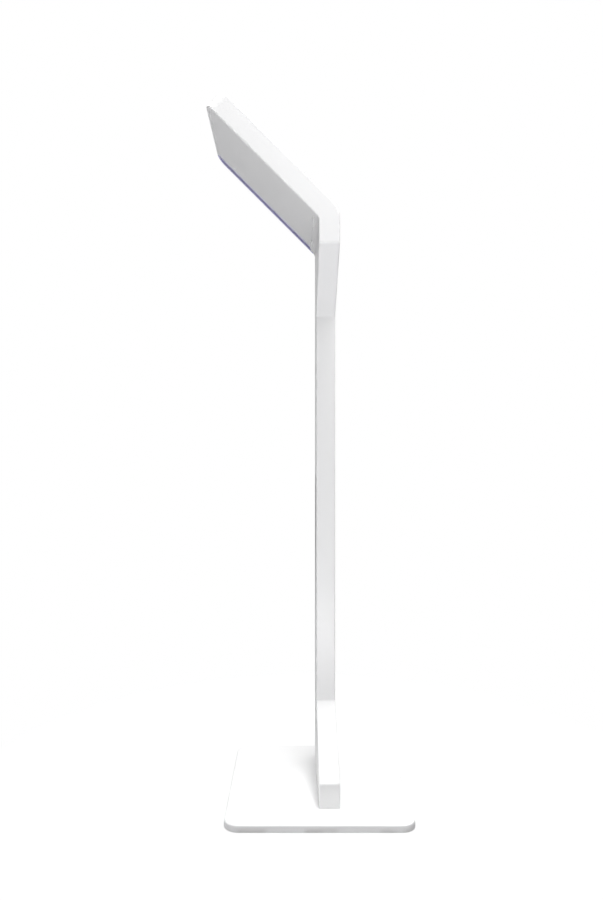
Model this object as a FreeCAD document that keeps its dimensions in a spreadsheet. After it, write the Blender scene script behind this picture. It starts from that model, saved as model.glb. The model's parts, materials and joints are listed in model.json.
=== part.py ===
"""Touchscreen kiosk: a floor stand folded from one slab section, with a tilted portrait screen.

Frame: millimetres, +Z up, origin on the floor under the middle of the base plate. The visitor
stands on the -Y side. The stand's front face looks to -Y and the head leans back to +Y.
Head frame: x across, y up the slope from the bend's inner corner, z out of the screen.
"""
import FreeCAD, Part
import Sketcher
import math
import os
import re

doc = FreeCAD.newDocument("touchscreen_kiosk")

# ---------------------------------------------------------------- driving dimensions

SIZES = [
    # base
    ("plate_size", 320, "side of the square base plate"),
    ("plate_thick", 12, "base plate thickness"),
    ("plate_corner", 25, "base plate corner radius"),
    ("plate_edge", 2.5, "rounding of the base plate's top edge"),
    ("mat_thick", 1, "rubber mat under the base plate"),
    ("mat_inset", 2, "mat set in from the plate's edge"),
    # stand
    ("stand_width", 212, "width of foot and head"),
    ("slab", 36.5, "depth of the stand's section"),
    ("wall", 2, "sheet thickness of the shell"),
    ("column_width", 77, "width of the column at the straight side"),
    ("foot_end", 42.4, "height of the foot's outer end above the plate"),
    ("foot_top", 140, "height where the foot's slope meets the column"),
    ("flare_rise", 96, "height of the flare between column and head"),
    ("flare_drop", 44.2, "full width kept between the flare and the bend's inner corner"),
    ("bend_height", 1017.2, "height of the bend's inner corner above the plate"),
    ("tilt", 45, "slope of the head from level"),
    ("head_length", 278, "underside of the head from the bend's inner corner"),
    ("bend_radius", 10, "inner radius of the bend"),
    ("head_corner", 20, "corner radius of the head's upper end"),
    ("edge_round", 2.5, "rounding of the shell's long edges"),
    ("notch_round", 5, "rounding of the notch's corners"),
    # clearances
    ("seam", 0.5, "visible gap round covers and glass"),
    ("fit", 0.05, "radial running clearance"),
    ("loose", 0.3, "clearance between pieces that do not bear on each other"),
    # base fixings
    ("flange_thick", 8, "foot flange thickness"),
    ("bolt_radius", 4, "base bolt shank radius"),
    ("bolt_head", 8, "base bolt countersunk head radius"),
    ("bolt_cone", 4.4, "base bolt head height"),
    ("bolt_margin", 12, "outer base bolts from the stand's sides"),
    ("bolt_inner", 25, "left inner base bolt from the middle"),
    ("bolt_entry", 42.5, "right inner base bolt from the cable hole"),
    ("entry_radius", 9, "bore of the cable grommet"),
    ("entry_wall", 2.5, "grommet wall"),
    ("entry_lip", 2.5, "grommet lip width"),
    # spine and rear panel
    ("spine_side", 1, "gap between spine and shell walls"),
    ("spine_thick", 2, "spine sheet thickness"),
    ("spine_lip", 13, "width of the spine's rear lips"),
    ("spine_drop", 32.2, "spine top below the bend's inner corner"),
    ("panel_side", 4.5, "shell left beside the rear panel"),
    ("panel_low", 30, "lower edge of the rear panel above the plate"),
    ("panel_drop", 42.2, "rear panel's upper edge below the bend's inner corner"),
    ("panel_corner", 4, "rear panel corner radius"),
    ("screw_radius", 2, "rear panel screw shank radius"),
    ("screw_head", 3.8, "rear panel screw head radius"),
    ("screw_cone", 1.6, "rear panel screw head height"),
    ("screw_reach", 6, "rear panel screw length"),
    ("screw_inset", 6.5, "rear panel screws from the panel's long edges"),
    ("screw_margin", 18, "first rear panel screw from the panel's end"),
    ("screw_rows", 5, "rows of rear panel screws"),
    # gussets and head bracket
    ("gusset_thick", 3, "gusset plate thickness"),
    ("gusset_rear", 6, "gusset set in from the slab's rear face"),
    ("gusset_front", 14, "gusset set in from the slab's front face"),
    ("gusset_drop", 110, "gusset length down the spine"),
    ("gusset_grip", 35, "gusset reach past the display tray's lower edge"),
    ("bracket_left", 62, "head bracket's reach to the left of the middle"),
    ("bracket_gap", 4, "head bracket's lower edge above the tray's"),
    # cover
    ("rim", 8, "shell left round the service cover"),
    ("hinge_up", 12, "hinge line up the slope"),
    ("cover_thick", 1.5, "service cover skin"),
    ("cover_flange", 3, "height of the cover's folded edge"),
    ("cover_corner", 12, "corner radius of the cover's opening"),
    ("hinge_radius", 2.2, "hinge knuckle radius"),
    ("pin_radius", 1, "hinge pin radius"),
    ("hinge_half", 21, "half length of one hinge"),
    ("knuckle_half", 7, "half length of the middle knuckle"),
    ("hinge_margin", 46, "hinges' middles from the stand's sides"),
    ("leaf_thick", 1, "hinge leaf thickness"),
    ("leaf_reach", 9, "fixed hinge leaf width"),
    ("leaf_cover", 12, "cover hinge leaf width"),
    ("ledge_low", 3.4, "ledge above the head's underside"),
    ("ledge_thick", 1.5, "ledge sheet thickness"),
    ("ledge_inner", 5, "ledge reach inside the opening"),
    ("ledge_start", 30, "ledge start up the slope"),
    ("seal_thick", 0.3, "cover seal thickness"),
    ("seal_width", 3, "cover seal width"),
    # light strip
    ("strip_inset", 2.6, "light strip from the shell's side"),
    ("strip_width", 4, "light strip width"),
    ("strip_start", 5, "light strip start up the slope"),
    ("strip_tail", 4, "light strip length along the upper end"),
    ("strip_fit", 0.1, "gap beside the light strip"),
    ("board_strip", 1.2, "light board thickness"),
    # display
    ("bezel", 13, "shell beside and above the touch glass"),
    ("glass_low", 13, "touch glass lower edge up the slope"),
    ("glass_corner", 9, "touch glass corner radius"),
    ("glass_thick", 3, "touch glass thickness"),
    ("gasket_inner", 0.5, "gasket under the glass"),
    ("gasket_cover", 6, "gasket reach under the glass"),
    ("flange_reach", 6, "tray flange outside the glass"),
    ("tray_thick", 1.5, "display tray sheet"),
    ("tray_inset", 7, "tray wall inside the glass edge"),
    ("tray_depth", 8.5, "display tray depth under its flange"),
    ("panel_gap", 0.3, "gap round the display panel"),
    ("stud_radius", 1.5, "tray stud radius"),
    ("stud_length", 7, "tray stud length"),
    ("nut_across", 5.5, "tray nut across flats"),
    ("nut_thick", 2.4, "tray nut height"),
    ("stud_inset", 3, "tray studs from the tray flange's edge"),
    # electronics
    ("standoff_length", 6, "main board standoff length"),
    ("standoff_radius", 2.75, "main board standoff radius"),
    ("board_thick", 1.6, "main board thickness"),
    ("board_width", 126, "main board width"),
    ("board_drop", 64, "main board upper edge below the head's end"),
    ("board_low", 88, "main board lower edge up the slope"),
    ("board_side", 20, "main board from the stand's side"),
    ("board_inset", 5, "board fixings from the board's edge"),
    ("board_screw", 1.5, "board screw radius"),
    ("board_head", 2.8, "board screw head radius"),
    ("board_head_high", 1.6, "board screw head height"),
    ("sink_size", 56, "heat sink side"),
    ("sink_base", 2, "heat sink base"),
    ("sink_fin", 5, "heat sink fin height"),
    ("sink_pitch", 4, "heat sink fin pitch"),
    ("sink_fin_thick", 1.2, "heat sink fin thickness"),
    ("sink_in", 30, "heat sink from the board's left edge"),
    ("connector_long", 16, "power connector length"),
    ("connector_wide", 13, "power connector width"),
    ("connector_high", 8, "power connector height"),
    # speaker
    ("speaker_low", 62, "speaker lower edge up the slope"),
    ("speaker_long", 40, "speaker length"),
    ("speaker_deep", 13, "speaker depth from the wall"),
    ("speaker_high", 15, "speaker height"),
    ("speaker_rise", 7, "speaker above the head's underside"),
    ("grille_radius", 0.9, "grille hole radius"),
    ("grille_pitch", 3.6, "grille hole pitch"),
    ("grille_across", 9, "grille holes along the slope"),
    ("grille_rows", 3, "grille rows"),
    # power button
    ("button_up", 130, "button up the slope"),
    ("button_rise", 16, "button above the head's underside"),
    ("button_radius", 5, "button cap radius"),
    ("button_ring", 7.5, "button ring radius"),
    ("button_sleeve", 1.4, "button sleeve wall"),
    ("button_depth", 9, "button sleeve length inside the wall"),
    ("button_proud", 1.2, "button cap proud of its ring"),
    ("button_travel", 1.2, "button travel"),
    ("ring_thick", 1, "thickness of outer rings"),
    # lock
    ("lock_drop", 42, "lock below the head's end"),
    ("lock_rise", 15.5, "lock above the head's underside"),
    ("lock_radius", 6, "lock body radius"),
    ("lock_face", 8, "lock face radius"),
    ("lock_plug", 4, "lock plug radius"),
    ("lock_depth", 11, "lock body length inside the wall"),
    ("plug_proud", 0.6, "plug proud of the lock face"),
    ("stem_radius", 2, "plug stem radius"),
    ("cam_thick", 2, "cam thickness"),
    ("cam_reach", 11, "cam arm length"),
    ("cam_half", 4, "half width of the cam arm"),
    ("strike_grip", 4, "overlap of strike and cam"),
    ("strike_wide", 5.5, "strike width"),
    ("strike_thick", 2, "strike sheet thickness"),
    # cover screw
    ("thumb_side", 60.5, "cover screw to the right of the middle"),
    ("thumb_drop", 54, "cover screw below the head's end"),
    ("thumb_head", 2.6, "cover screw head radius"),
    ("thumb_dome", 1, "cover screw head height"),
    ("thumb_shank", 1.5, "cover screw shank radius"),
    ("thumb_length", 7, "cover screw shank length"),
    ("post_radius", 4.5, "receiver post radius"),
    ("post_play", 0.8, "play of the shank in its receiver"),
    # power supply and lead
    ("supply_wide", 27, "power supply width"),
    ("supply_high", 28, "power supply height"),
    ("supply_margin", 12, "power supply from the foot's outer end"),
    ("supply_gap", 27, "power supply from the column"),
    ("supply_round", 2, "power supply edge rounding"),
    ("strap_wide", 18, "supply strap width"),
    ("strap_thick", 1.2, "supply strap thickness"),
    ("lead_radius", 3, "power lead radius"),
    ("lead_turn", 26, "power lead bend radius in the foot"),
    ("lead_bend", 60, "power lead bend radius at the head"),
    ("lead_rise", 36, "power lead height above the plate in the foot"),
    ("lead_depth", 12.4, "power lead above the head's underside"),
    ("clip_first", 240, "first lead clip above the plate"),
    ("clip_last", 177.2, "last lead clip below the bend's inner corner"),
    ("clip_count", 4, "lead clips"),
    ("clip_high", 8, "lead clip height"),
    ("clip_wide", 12, "lead clip width"),
    ("clip_wall", 2, "lead clip wall round the lead"),
]


def write_sizes():
    """Puts the driving dimensions in a sheet, one row each, with the name as the alias."""
    book = doc.addObject("Spreadsheet::Sheet", "sizes")
    for row, (name, amount, meaning) in enumerate(SIZES, start=1):
        book.set("A%d" % row, meaning)
        book.set("B%d" % row, str(amount))
        book.setAlias("B%d" % row, name)
    doc.recompute()
    return book


sheet = write_sizes()
NAMES = {name for name, amount, meaning in SIZES}

# Derived places, written once as formulas of the driving dimensions.
PLATE_TOP = "(mat_thick + plate_thick)"
BEND_Z = "(mat_thick + plate_thick + bend_height)"
HALF_WIDTH = "(stand_width / 2)"
NOTCH_X = "(stand_width / 2 - column_width)"
FOOT_SLOPE = "((foot_top - foot_end) / (stand_width - column_width))"
FLARE_SLOPE = "(flare_rise / (stand_width - column_width))"
FLARE_TOP = "(bend_height - flare_drop)"
NOTCH_TOP = "(bend_height - flare_drop - flare_rise)"
TANGENT = "(bend_radius * tan(45 - tilt / 2))"
SPINE_LEFT = "(stand_width / 2 - column_width + wall + spine_side)"
SPINE_RIGHT = "(stand_width / 2 - wall - spine_side)"
COLUMN_MIDDLE = "(stand_width / 2 - column_width / 2)"
SLAB_MIDDLE = "(slab / 2)"
FLANGE_TOP = "(mat_thick + plate_thick + flange_thick)"
GLASS_TOP = "(head_length - bezel)"
GLASS_BOTTOM = "glass_low"
GLASS_HALF = "(stand_width / 2 - bezel)"
GLASS_UNDER = "(slab - glass_thick)"
TRAY_SIDE = "(stand_width / 2 - bezel - tray_inset)"
TRAY_LOW = "(glass_low + tray_inset)"
TRAY_HIGH = "(head_length - bezel - tray_inset)"
FLANGE_OVER = "(slab - glass_thick - gasket_inner)"
FLANGE_UNDER = "(slab - glass_thick - gasket_inner - tray_thick)"
TRAY_BACK = "(slab - glass_thick - gasket_inner - tray_thick - tray_depth + tray_thick)"
BOARD_OVER = "(%s - standoff_length)" % TRAY_BACK
BOARD_UNDER = "(%s - standoff_length - board_thick)" % TRAY_BACK
OPENING_HALF = "(stand_width / 2 - rim)"
OPENING_TOP = "(head_length - rim)"
LOCK_UP = "(head_length - lock_drop)"
THUMB_UP = "(head_length - thumb_drop)"
PANEL_HIGH = "(bend_height - panel_drop)"
CAM_INNER = "(stand_width / 2 - wall - lock_depth - cam_thick)"


# ---------------------------------------------------------------- drawing helpers

def bind(text):
    """The formula with each dimension's name pointing at its cell."""
    return re.sub(r"[a-z_]+",
                  lambda word: "sizes." + word.group() if word.group() in NAMES else word.group(), text)


def value(text):
    """The formula's present value."""
    return float(sheet.evalExpression(bind(text)))


def formula(item, prop, text):
    """Ties a property to a formula."""
    item.setExpression(prop, bind(text))


def in_head(item):
    """Seats a piece drawn in the head frame at the bend's inner corner, turned by the slope."""
    turn = FreeCAD.Rotation(FreeCAD.Vector(1, 0, 0), value("tilt"))
    item.Placement = FreeCAD.Placement(FreeCAD.Vector(0, 0, value(BEND_Z)), turn)
    formula(item, "Placement.Base.z", BEND_Z)
    formula(item, "Placement.Rotation.Angle", "tilt")
    return item


def slope_point(along, out):
    """World Y and Z of a point of the head frame."""
    across = "((%s) * cos(tilt) - (%s) * sin(tilt))" % (along, out)
    height = "(%s + (%s) * sin(tilt) + (%s) * cos(tilt))" % (BEND_Z, along, out)
    return across, height


def new_body(label):
    """An empty body for one sub-part."""
    return doc.addObject("PartDesign::Body", label)


def new_sketch(body, name, plane="XY_Plane", lift="0"):
    """An empty sketch on one of the body's origin planes, moved along the plane's normal."""
    drawing = body.newObject("Sketcher::SketchObject", name)
    support = [item for item in body.Origin.OriginFeatures if item.Role == plane][0]
    drawing.AttachmentSupport = (support, [""])
    drawing.MapMode = "FlatFace"
    formula(drawing, "AttachmentOffset.Base.z", lift)
    return drawing


def slope_sketch(body, name, lift="0"):
    """A sketch in the head frame's x-y plane, for a body drawn in the stand's frame."""
    drawing = new_sketch(body, name)
    turn = FreeCAD.Rotation(FreeCAD.Vector(1, 0, 0), value("tilt"))
    drawing.AttachmentOffset = FreeCAD.Placement(FreeCAD.Vector(0, 0, 0), turn)
    across, height = slope_point("0", lift)
    formula(drawing, "AttachmentOffset.Base.y", across)
    formula(drawing, "AttachmentOffset.Base.z", height)
    formula(drawing, "AttachmentOffset.Rotation.Angle", "tilt")
    return drawing


def side_sketch(body, name, lift):
    """A sketch in the head frame's y-z plane, for a body drawn in the stand's frame."""
    drawing = new_sketch(body, name, "YZ_Plane")
    turn = FreeCAD.Rotation(FreeCAD.Vector(0, 0, 1), value("tilt"))
    drawing.AttachmentOffset = FreeCAD.Placement(FreeCAD.Vector(0, 0, 0), turn)
    formula(drawing, "AttachmentOffset.Base.y", BEND_Z)
    formula(drawing, "AttachmentOffset.Base.z", lift)
    formula(drawing, "AttachmentOffset.Rotation.Angle", "tilt")
    return drawing


def pin(drawing, geometry, end, across, up):
    """Holds one point of the sketch at two formulas."""
    for kind, text in (("DistanceX", across), ("DistanceY", up)):
        index = drawing.addConstraint(Sketcher.Constraint(kind, -1, 1, geometry, end, value(text)))
        formula(drawing, "Constraints[%d]" % index, text)


def arc_between(start, finish, radius):
    """The short arc from start to finish: to the left of the chord where radius is positive."""
    chord = finish.sub(start)
    half = chord.Length / 2
    reach = math.sqrt(max(radius * radius - half * half, 0))
    side = FreeCAD.Vector(-chord.y, chord.x, 0).normalize()
    centre = start.add(finish).multiply(0.5).add(side.multiply(reach if radius > 0 else -reach))
    first, last = (start, finish) if radius > 0 else (finish, start)
    angles = [math.atan2(point.y - centre.y, point.x - centre.x) for point in (first, last)]
    ring = Part.Circle(centre, FreeCAD.Vector(0, 0, 1), abs(radius))
    return Part.ArcOfCircle(ring, angles[0], angles[1])


def outline(drawing, corners):
    """A closed outline. A corner is (x, y), or (x, y, radius) where an arc starts there:
    counter-clockwise, or clockwise with a minus sign before the formula."""
    spots = [FreeCAD.Vector(value(corner[0]), value(corner[1]), 0) for corner in corners]
    ends = []
    radii = []
    for number, corner in enumerate(corners):
        start, finish = spots[number], spots[(number + 1) % len(spots)]
        if len(corner) == 2:
            index = drawing.addGeometry(Part.LineSegment(start, finish))
            ends.append((index, 1, 2))
            continue
        radius = value(corner[2])
        index = drawing.addGeometry(arc_between(start, finish, radius))
        ends.append((index, 1, 2) if radius > 0 else (index, 2, 1))
        radii.append((index, corner[2].lstrip("-")))
    for number, (index, first, last) in enumerate(ends):
        following = ends[(number + 1) % len(ends)]
        drawing.addConstraint(Sketcher.Constraint("Coincident", index, last, following[0], following[1]))
        pin(drawing, index, first, corners[number][0], corners[number][1])
    for index, text in radii:
        place = drawing.addConstraint(Sketcher.Constraint("Radius", index, value(text)))
        formula(drawing, "Constraints[%d]" % place, text)


def rectangle(drawing, left, right, low, high, corner=None):
    """A rectangle, with rounded corners where a corner radius is given."""
    if corner is None:
        outline(drawing, [(left, low), (right, low), (right, high), (left, high)])
        return
    left_in, right_in = "(%s + %s)" % (left, corner), "(%s - %s)" % (right, corner)
    low_in, high_in = "(%s + %s)" % (low, corner), "(%s - %s)" % (high, corner)
    outline(drawing, [(left_in, low), (right_in, low, corner), (right, low_in), (right, high_in, corner),
                      (right_in, high), (left_in, high, corner), (left, high_in), (left, low_in, corner)])


def circle(drawing, across, up, radius):
    """A circle held by its centre and radius."""
    middle = FreeCAD.Vector(value(across), value(up), 0)
    index = drawing.addGeometry(Part.Circle(middle, FreeCAD.Vector(0, 0, 1), value(radius)))
    pin(drawing, index, 3, across, up)
    place = drawing.addConstraint(Sketcher.Constraint("Radius", index, value(radius)))
    formula(drawing, "Constraints[%d]" % place, radius)


def add_pad(body, drawing, length, both_ways=False, downward=False):
    """Pads a sketch and checks that the body grew."""
    before = body.Shape.Volume if body.Tip else 0
    pad = body.newObject("PartDesign::Pad", drawing.Name + "_pad")
    pad.Profile = drawing
    pad.Midplane = both_ways
    pad.Reversed = downward
    formula(pad, "Length", length)
    doc.recompute()
    if body.Shape.Volume <= before + 1e-6:
        raise RuntimeError("no material added by " + drawing.Name)
    return pad


def add_pocket(body, drawing, length, both_ways=False, upward=False):
    """Cuts a sketch out of the body, against the sketch's normal unless upward."""
    before = body.Shape.Volume
    pocket = body.newObject("PartDesign::Pocket", drawing.Name + "_pocket")
    pocket.Profile = drawing
    pocket.Midplane = both_ways
    pocket.Reversed = upward
    formula(pocket, "Length", length)
    doc.recompute()
    if body.Shape.Volume >= before - 1e-6:
        raise RuntimeError("nothing cut by " + drawing.Name)
    return pocket


def round_edges(body, radius, wanted):
    """Rounds the edges of the body's tip for which wanted(edge) is true."""
    base = body.Tip
    names = ["Edge%d" % number for number, edge in enumerate(base.Shape.Edges, start=1) if wanted(edge)]
    if not names:
        raise RuntimeError("no edge to round on " + body.Name)
    blend = body.newObject("PartDesign::Fillet", body.Name + "_round_%d" % len(body.Group))
    blend.Base = (base, names)
    formula(blend, "Radius", radius)
    doc.recompute()
    return blend


def edge_middle(edge):
    """The point half way along an edge."""
    return edge.valueAt((edge.FirstParameter + edge.LastParameter) / 2)


def near(first, second, tolerance=0.05):
    """True where two lengths agree."""
    return abs(first - second) < tolerance


def block(label, left, right, low, high, under, over, corner=None):
    """A plate with its corners rounded in plan: one sketch, one pad."""
    body = new_body(label)
    drawing = new_sketch(body, label + "_outline", lift=under)
    rectangle(drawing, left, right, low, high, corner)
    add_pad(body, drawing, "(%s) - (%s)" % (over, under))
    return body


def cut_holes(body, name, centres, radius, start, depth):
    """Round holes along the body's z axis, down from start."""
    drawing = new_sketch(body, name, lift=start)
    for across, up in centres:
        circle(drawing, across, up, radius)
    return add_pocket(body, drawing, depth)


AXES = {"z": (0, 0, 1, 0), "down": (1, 0, 0, 180), "x": (0, 1, 0, 90), "left": (0, 1, 0, -90),
        "front": (1, 0, 0, 90), "rear": (1, 0, 0, -90)}


def set_place(item, place, axis):
    """Puts a primitive at three formulas, with its z axis turned to the named direction."""
    x, y, z, angle = AXES[axis]
    item.Placement = FreeCAD.Placement(FreeCAD.Vector(0, 0, 0),
                                       FreeCAD.Rotation(FreeCAD.Vector(x, y, z), angle))
    for letter, text in zip("xyz", place):
        formula(item, "Placement.Base." + letter, text)


def rod(name, radius, length, place, axis="z"):
    """A round bar from place along axis."""
    item = doc.addObject("Part::Cylinder", name)
    formula(item, "Radius", radius)
    formula(item, "Height", length)
    set_place(item, place, axis)
    return item


def taper(name, start_radius, end_radius, length, place, axis="z"):
    """A cone frustum from place along axis."""
    item = doc.addObject("Part::Cone", name)
    formula(item, "Radius1", start_radius)
    formula(item, "Radius2", end_radius)
    formula(item, "Height", length)
    set_place(item, place, axis)
    return item


def brick(name, left, right, low, high, under, over):
    """A box between six formulas."""
    item = doc.addObject("Part::Box", name)
    formula(item, "Length", "(%s) - (%s)" % (right, left))
    formula(item, "Width", "(%s) - (%s)" % (high, low))
    formula(item, "Height", "(%s) - (%s)" % (over, under))
    set_place(item, (left, low, under), "z")
    return item


def joined(name, pieces):
    """One solid from several that overlap."""
    item = doc.addObject("Part::MultiFuse", name)
    item.Shapes = pieces
    item.Refine = True
    return item


def less(name, base, tool):
    """One solid with another taken out of it."""
    item = doc.addObject("Part::Cut", name)
    item.Base = base
    item.Tool = tool
    return item


def group(name, pieces):
    """Separate solids kept in one node."""
    item = doc.addObject("Part::Compound", name)
    item.Links = pieces
    return item


# ---------------------------------------------------------------- base

BOLT_X = ["(-stand_width / 2 + bolt_margin)", "-bolt_inner", COLUMN_MIDDLE + " - bolt_entry",
          "(stand_width / 2 - bolt_margin)"]
BOLT_Y = "(-%s)" % SLAB_MIDDLE
ENTRY_X = COLUMN_MIDDLE
HEAD_RECESS = "(bolt_head + loose)"


def make_base_plate():
    """Steel plate with countersunk holes from below and the cable hole."""
    half = "(plate_size / 2)"
    body = block("base_plate", "-" + half, half, "-" + half, half, "mat_thick", PLATE_TOP, "plate_corner")
    top = value(PLATE_TOP)
    round_edges(body, "plate_edge", lambda edge: near(edge.BoundBox.ZMin, top))
    clear = "(bolt_radius + loose)"
    cut_holes(body, "base_plate_bolts", [(x, BOLT_Y) for x in BOLT_X], clear, PLATE_TOP, "plate_thick")
    cut_holes(body, "base_plate_entry", [(ENTRY_X, BOLT_Y)], "(entry_radius + entry_wall + fit)", PLATE_TOP,
              "plate_thick")
    sinks = [taper("base_plate_sink_%d" % number, HEAD_RECESS, clear, "bolt_cone + loose",
                   (x, BOLT_Y, "mat_thick"))
             for number, x in enumerate(BOLT_X)]
    return less("base_plate_sunk", body, group("base_plate_sinks", sinks))


def make_base_mat():
    """Thin rubber mat that the plate stands on, open under the bolts and the cable hole."""
    half = "(plate_size / 2 - mat_inset)"
    body = block("base_mat", "-" + half, half, "-" + half, half, "0", "mat_thick",
                 "(plate_corner - mat_inset)")
    cut_holes(body, "base_mat_bolts", [(x, BOLT_Y) for x in BOLT_X], HEAD_RECESS, "mat_thick", "mat_thick")
    cut_holes(body, "base_mat_entry", [(ENTRY_X, BOLT_Y)], "(entry_radius + entry_wall + fit)", "mat_thick",
              "mat_thick")
    return body


def make_base_bolts():
    """Four countersunk bolts up through the plate into the foot flange."""
    bolts = []
    for number, x in enumerate(BOLT_X):
        head = taper("bolt_head_%d" % number, "bolt_head", "bolt_radius", "bolt_cone",
                     (x, BOLT_Y, "mat_thick"))
        shank = rod("bolt_shank_%d" % number, "bolt_radius", "plate_thick + flange_thick",
                    (x, BOLT_Y, "mat_thick"))
        socket = rod("bolt_socket_%d" % number, "bolt_radius * 0.6", "bolt_cone * 0.6",
                     (x, BOLT_Y, "mat_thick"))
        bolts.append(less("bolt_%d" % number, joined("bolt_blank_%d" % number, [head, shank]), socket))
    return group("base_bolts", bolts)


def make_foot_flange():
    """Thick plate inside the foot that the base bolts pull on."""
    side = "(stand_width / 2 - wall)"
    body = block("foot_flange", "-" + side, side, "(-slab + wall)", "(-wall)", PLATE_TOP, FLANGE_TOP)
    cut_holes(body, "foot_flange_bolts", [(x, BOLT_Y) for x in BOLT_X], "(bolt_radius + fit)", FLANGE_TOP,
              "flange_thick")
    cut_holes(body, "foot_flange_entry", [(ENTRY_X, BOLT_Y)], "(entry_radius + entry_wall + fit)",
              FLANGE_TOP,
              "flange_thick")
    return body


def make_cable_grommet():
    """Bushing through mat, plate and flange, with a lip on the flange."""
    outer = "(entry_radius + entry_wall)"
    sleeve = rod("grommet_sleeve", outer, FLANGE_TOP, (ENTRY_X, BOLT_Y, "0"))
    lip = rod("grommet_lip", outer + " + entry_lip", "entry_wall", (ENTRY_X, BOLT_Y, FLANGE_TOP))
    bore = rod("grommet_bore", "entry_radius", FLANGE_TOP + " + entry_wall", (ENTRY_X, BOLT_Y, "0"))
    return less("cable_grommet", joined("grommet_blank", [sleeve, lip]), bore)


# ---------------------------------------------------------------- shell

def slab_profile(body, name, inset, foot):
    """Side outline of the bent slab, moved inward by inset and starting at height foot."""
    drawing = new_sketch(body, name, "YZ_Plane")
    bend_low = "(%s - %s)" % (BEND_Z, TANGENT)
    corners = [("(-slab + %s)" % inset, foot), ("(-%s)" % inset, foot),
               ("(-%s)" % inset, bend_low, "-(bend_radius + %s)" % inset),
               slope_point(TANGENT, inset), slope_point("(head_length - %s)" % inset, inset),
               slope_point("(head_length - %s)" % inset, "(slab - %s)" % inset),
               slope_point(TANGENT, "(slab - %s)" % inset) + ("(bend_radius + slab - %s)" % inset,),
               ("(-slab + %s)" % inset, bend_low)]
    outline(drawing, corners)
    return drawing


def notch_outline(body, name, inset):
    """Front outline of the gap between foot and head, grown by inset."""
    drawing = new_sketch(body, name, "XZ_Plane")
    edge = "(%s + %s)" % (NOTCH_X, inset)
    foot_shift = "(%s * sqrt(1 + %s * %s))" % (inset, FOOT_SLOPE, FOOT_SLOPE)
    flare_shift = "(%s * sqrt(1 + %s * %s))" % (inset, FLARE_SLOPE, FLARE_SLOPE)
    far = "(-%s - plate_corner)" % HALF_WIDTH
    left = "(-%s)" % HALF_WIDTH
    foot_low = "(%s + foot_end - %s)" % (PLATE_TOP, foot_shift)
    foot_high = "(%s + foot_top + %s * %s - %s)" % (PLATE_TOP, inset, FOOT_SLOPE, foot_shift)
    flare_low = "(%s + %s - %s * %s + %s)" % (PLATE_TOP, NOTCH_TOP, inset, FLARE_SLOPE, flare_shift)
    flare_high = "(%s + %s + %s)" % (PLATE_TOP, FLARE_TOP, flare_shift)
    outline(drawing, [(far, foot_low), (left, foot_low), (edge, foot_high), (edge, flare_low),
                      (left, flare_high), (far, flare_high)])
    return drawing


def slab_body(label, inset, foot):
    """The bent slab with its notch: the shell's outside, or its hollow when inset by the wall."""
    body = new_body(label)
    profile = slab_profile(body, label + "_profile", inset, foot)
    add_pad(body, profile, "(stand_width - 2 * %s)" % inset, both_ways=True)
    notch = notch_outline(body, label + "_notch", inset)
    add_pocket(body, notch, "(8 * slab + 8 * head_length)", both_ways=True)
    edge_x = value("%s + %s" % (NOTCH_X, inset))
    left_x = -value(HALF_WIDTH) + value(inset)

    def notch_corner(edge):
        """The four edges along the slab's depth at the notch's corners."""
        low, high = edge.BoundBox.XMin, edge.BoundBox.XMax
        thin = edge.BoundBox.ZLength < 0.01 and near(edge.BoundBox.YLength, value("slab - 2 * %s" % inset),
                                                     0.5)
        in_column = value(PLATE_TOP) + 1 < edge.BoundBox.ZMin < value(BEND_Z + " - bend_radius")
        return thin and in_column and near(low, high) and (near(low, edge_x) or near(low, left_x))

    round_edges(body, "notch_round", notch_corner)
    end_y = value("head_length * cos(tilt)") - value("slab")

    def head_corner(edge):
        """The two short edges at the head's upper end."""
        box = edge.BoundBox
        return near(box.XLength, 0, 0.01) and box.YMin > end_y and near(edge.Length,
                                                                        value("slab - 2 * %s" % inset))

    round_edges(body, "head_corner - %s" % inset, head_corner)
    return body


def on_broad_face(point):
    """True for a point on the slab's front or rear surface."""
    depth = value("slab")
    along_z = point.z - value(BEND_Z)
    turn = math.radians(value("tilt"))
    up_slope = point.y * math.cos(turn) + along_z * math.sin(turn)
    out = -point.y * math.sin(turn) + along_z * math.cos(turn)
    centre_y, centre_z = value("bend_radius"), -value(TANGENT)
    spread = math.hypot(point.y - centre_y, along_z - centre_z)
    if along_z < centre_z + 0.01:
        return near(point.y, 0) or near(point.y, -depth)
    if up_slope > value(TANGENT) - 0.01:
        return near(out, 0) or near(out, depth)
    return near(spread, centre_y) or near(spread, centre_y + depth)


def soften_outside(body):
    """Rounds every long outer edge of the slab; seams and the foot's lower edges stay."""
    foot = value(PLATE_TOP)
    end_y, end_z = value(slope_point("head_length", SLAB_MIDDLE)[0]), value(slope_point("head_length",
                                                                                        SLAB_MIDDLE)[1])

    def outer_edge(edge):
        middle = edge_middle(edge)
        if not on_broad_face(middle) or near(edge.BoundBox.ZMax, foot):
            return False
        crosswise = edge.BoundBox.YLength < 0.01 and edge.BoundBox.ZLength < 0.01
        at_end = math.hypot(middle.y - end_y, middle.z - end_z) < value("slab")
        return at_end or not crosswise

    round_edges(body, "edge_round", outer_edge)


STRIP_OUTER = "(%s - strip_inset)" % HALF_WIDTH
STRIP_CENTRE_X = "(%s - head_corner)" % HALF_WIDTH
STRIP_CENTRE_Y = "(head_length - head_corner)"


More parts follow.
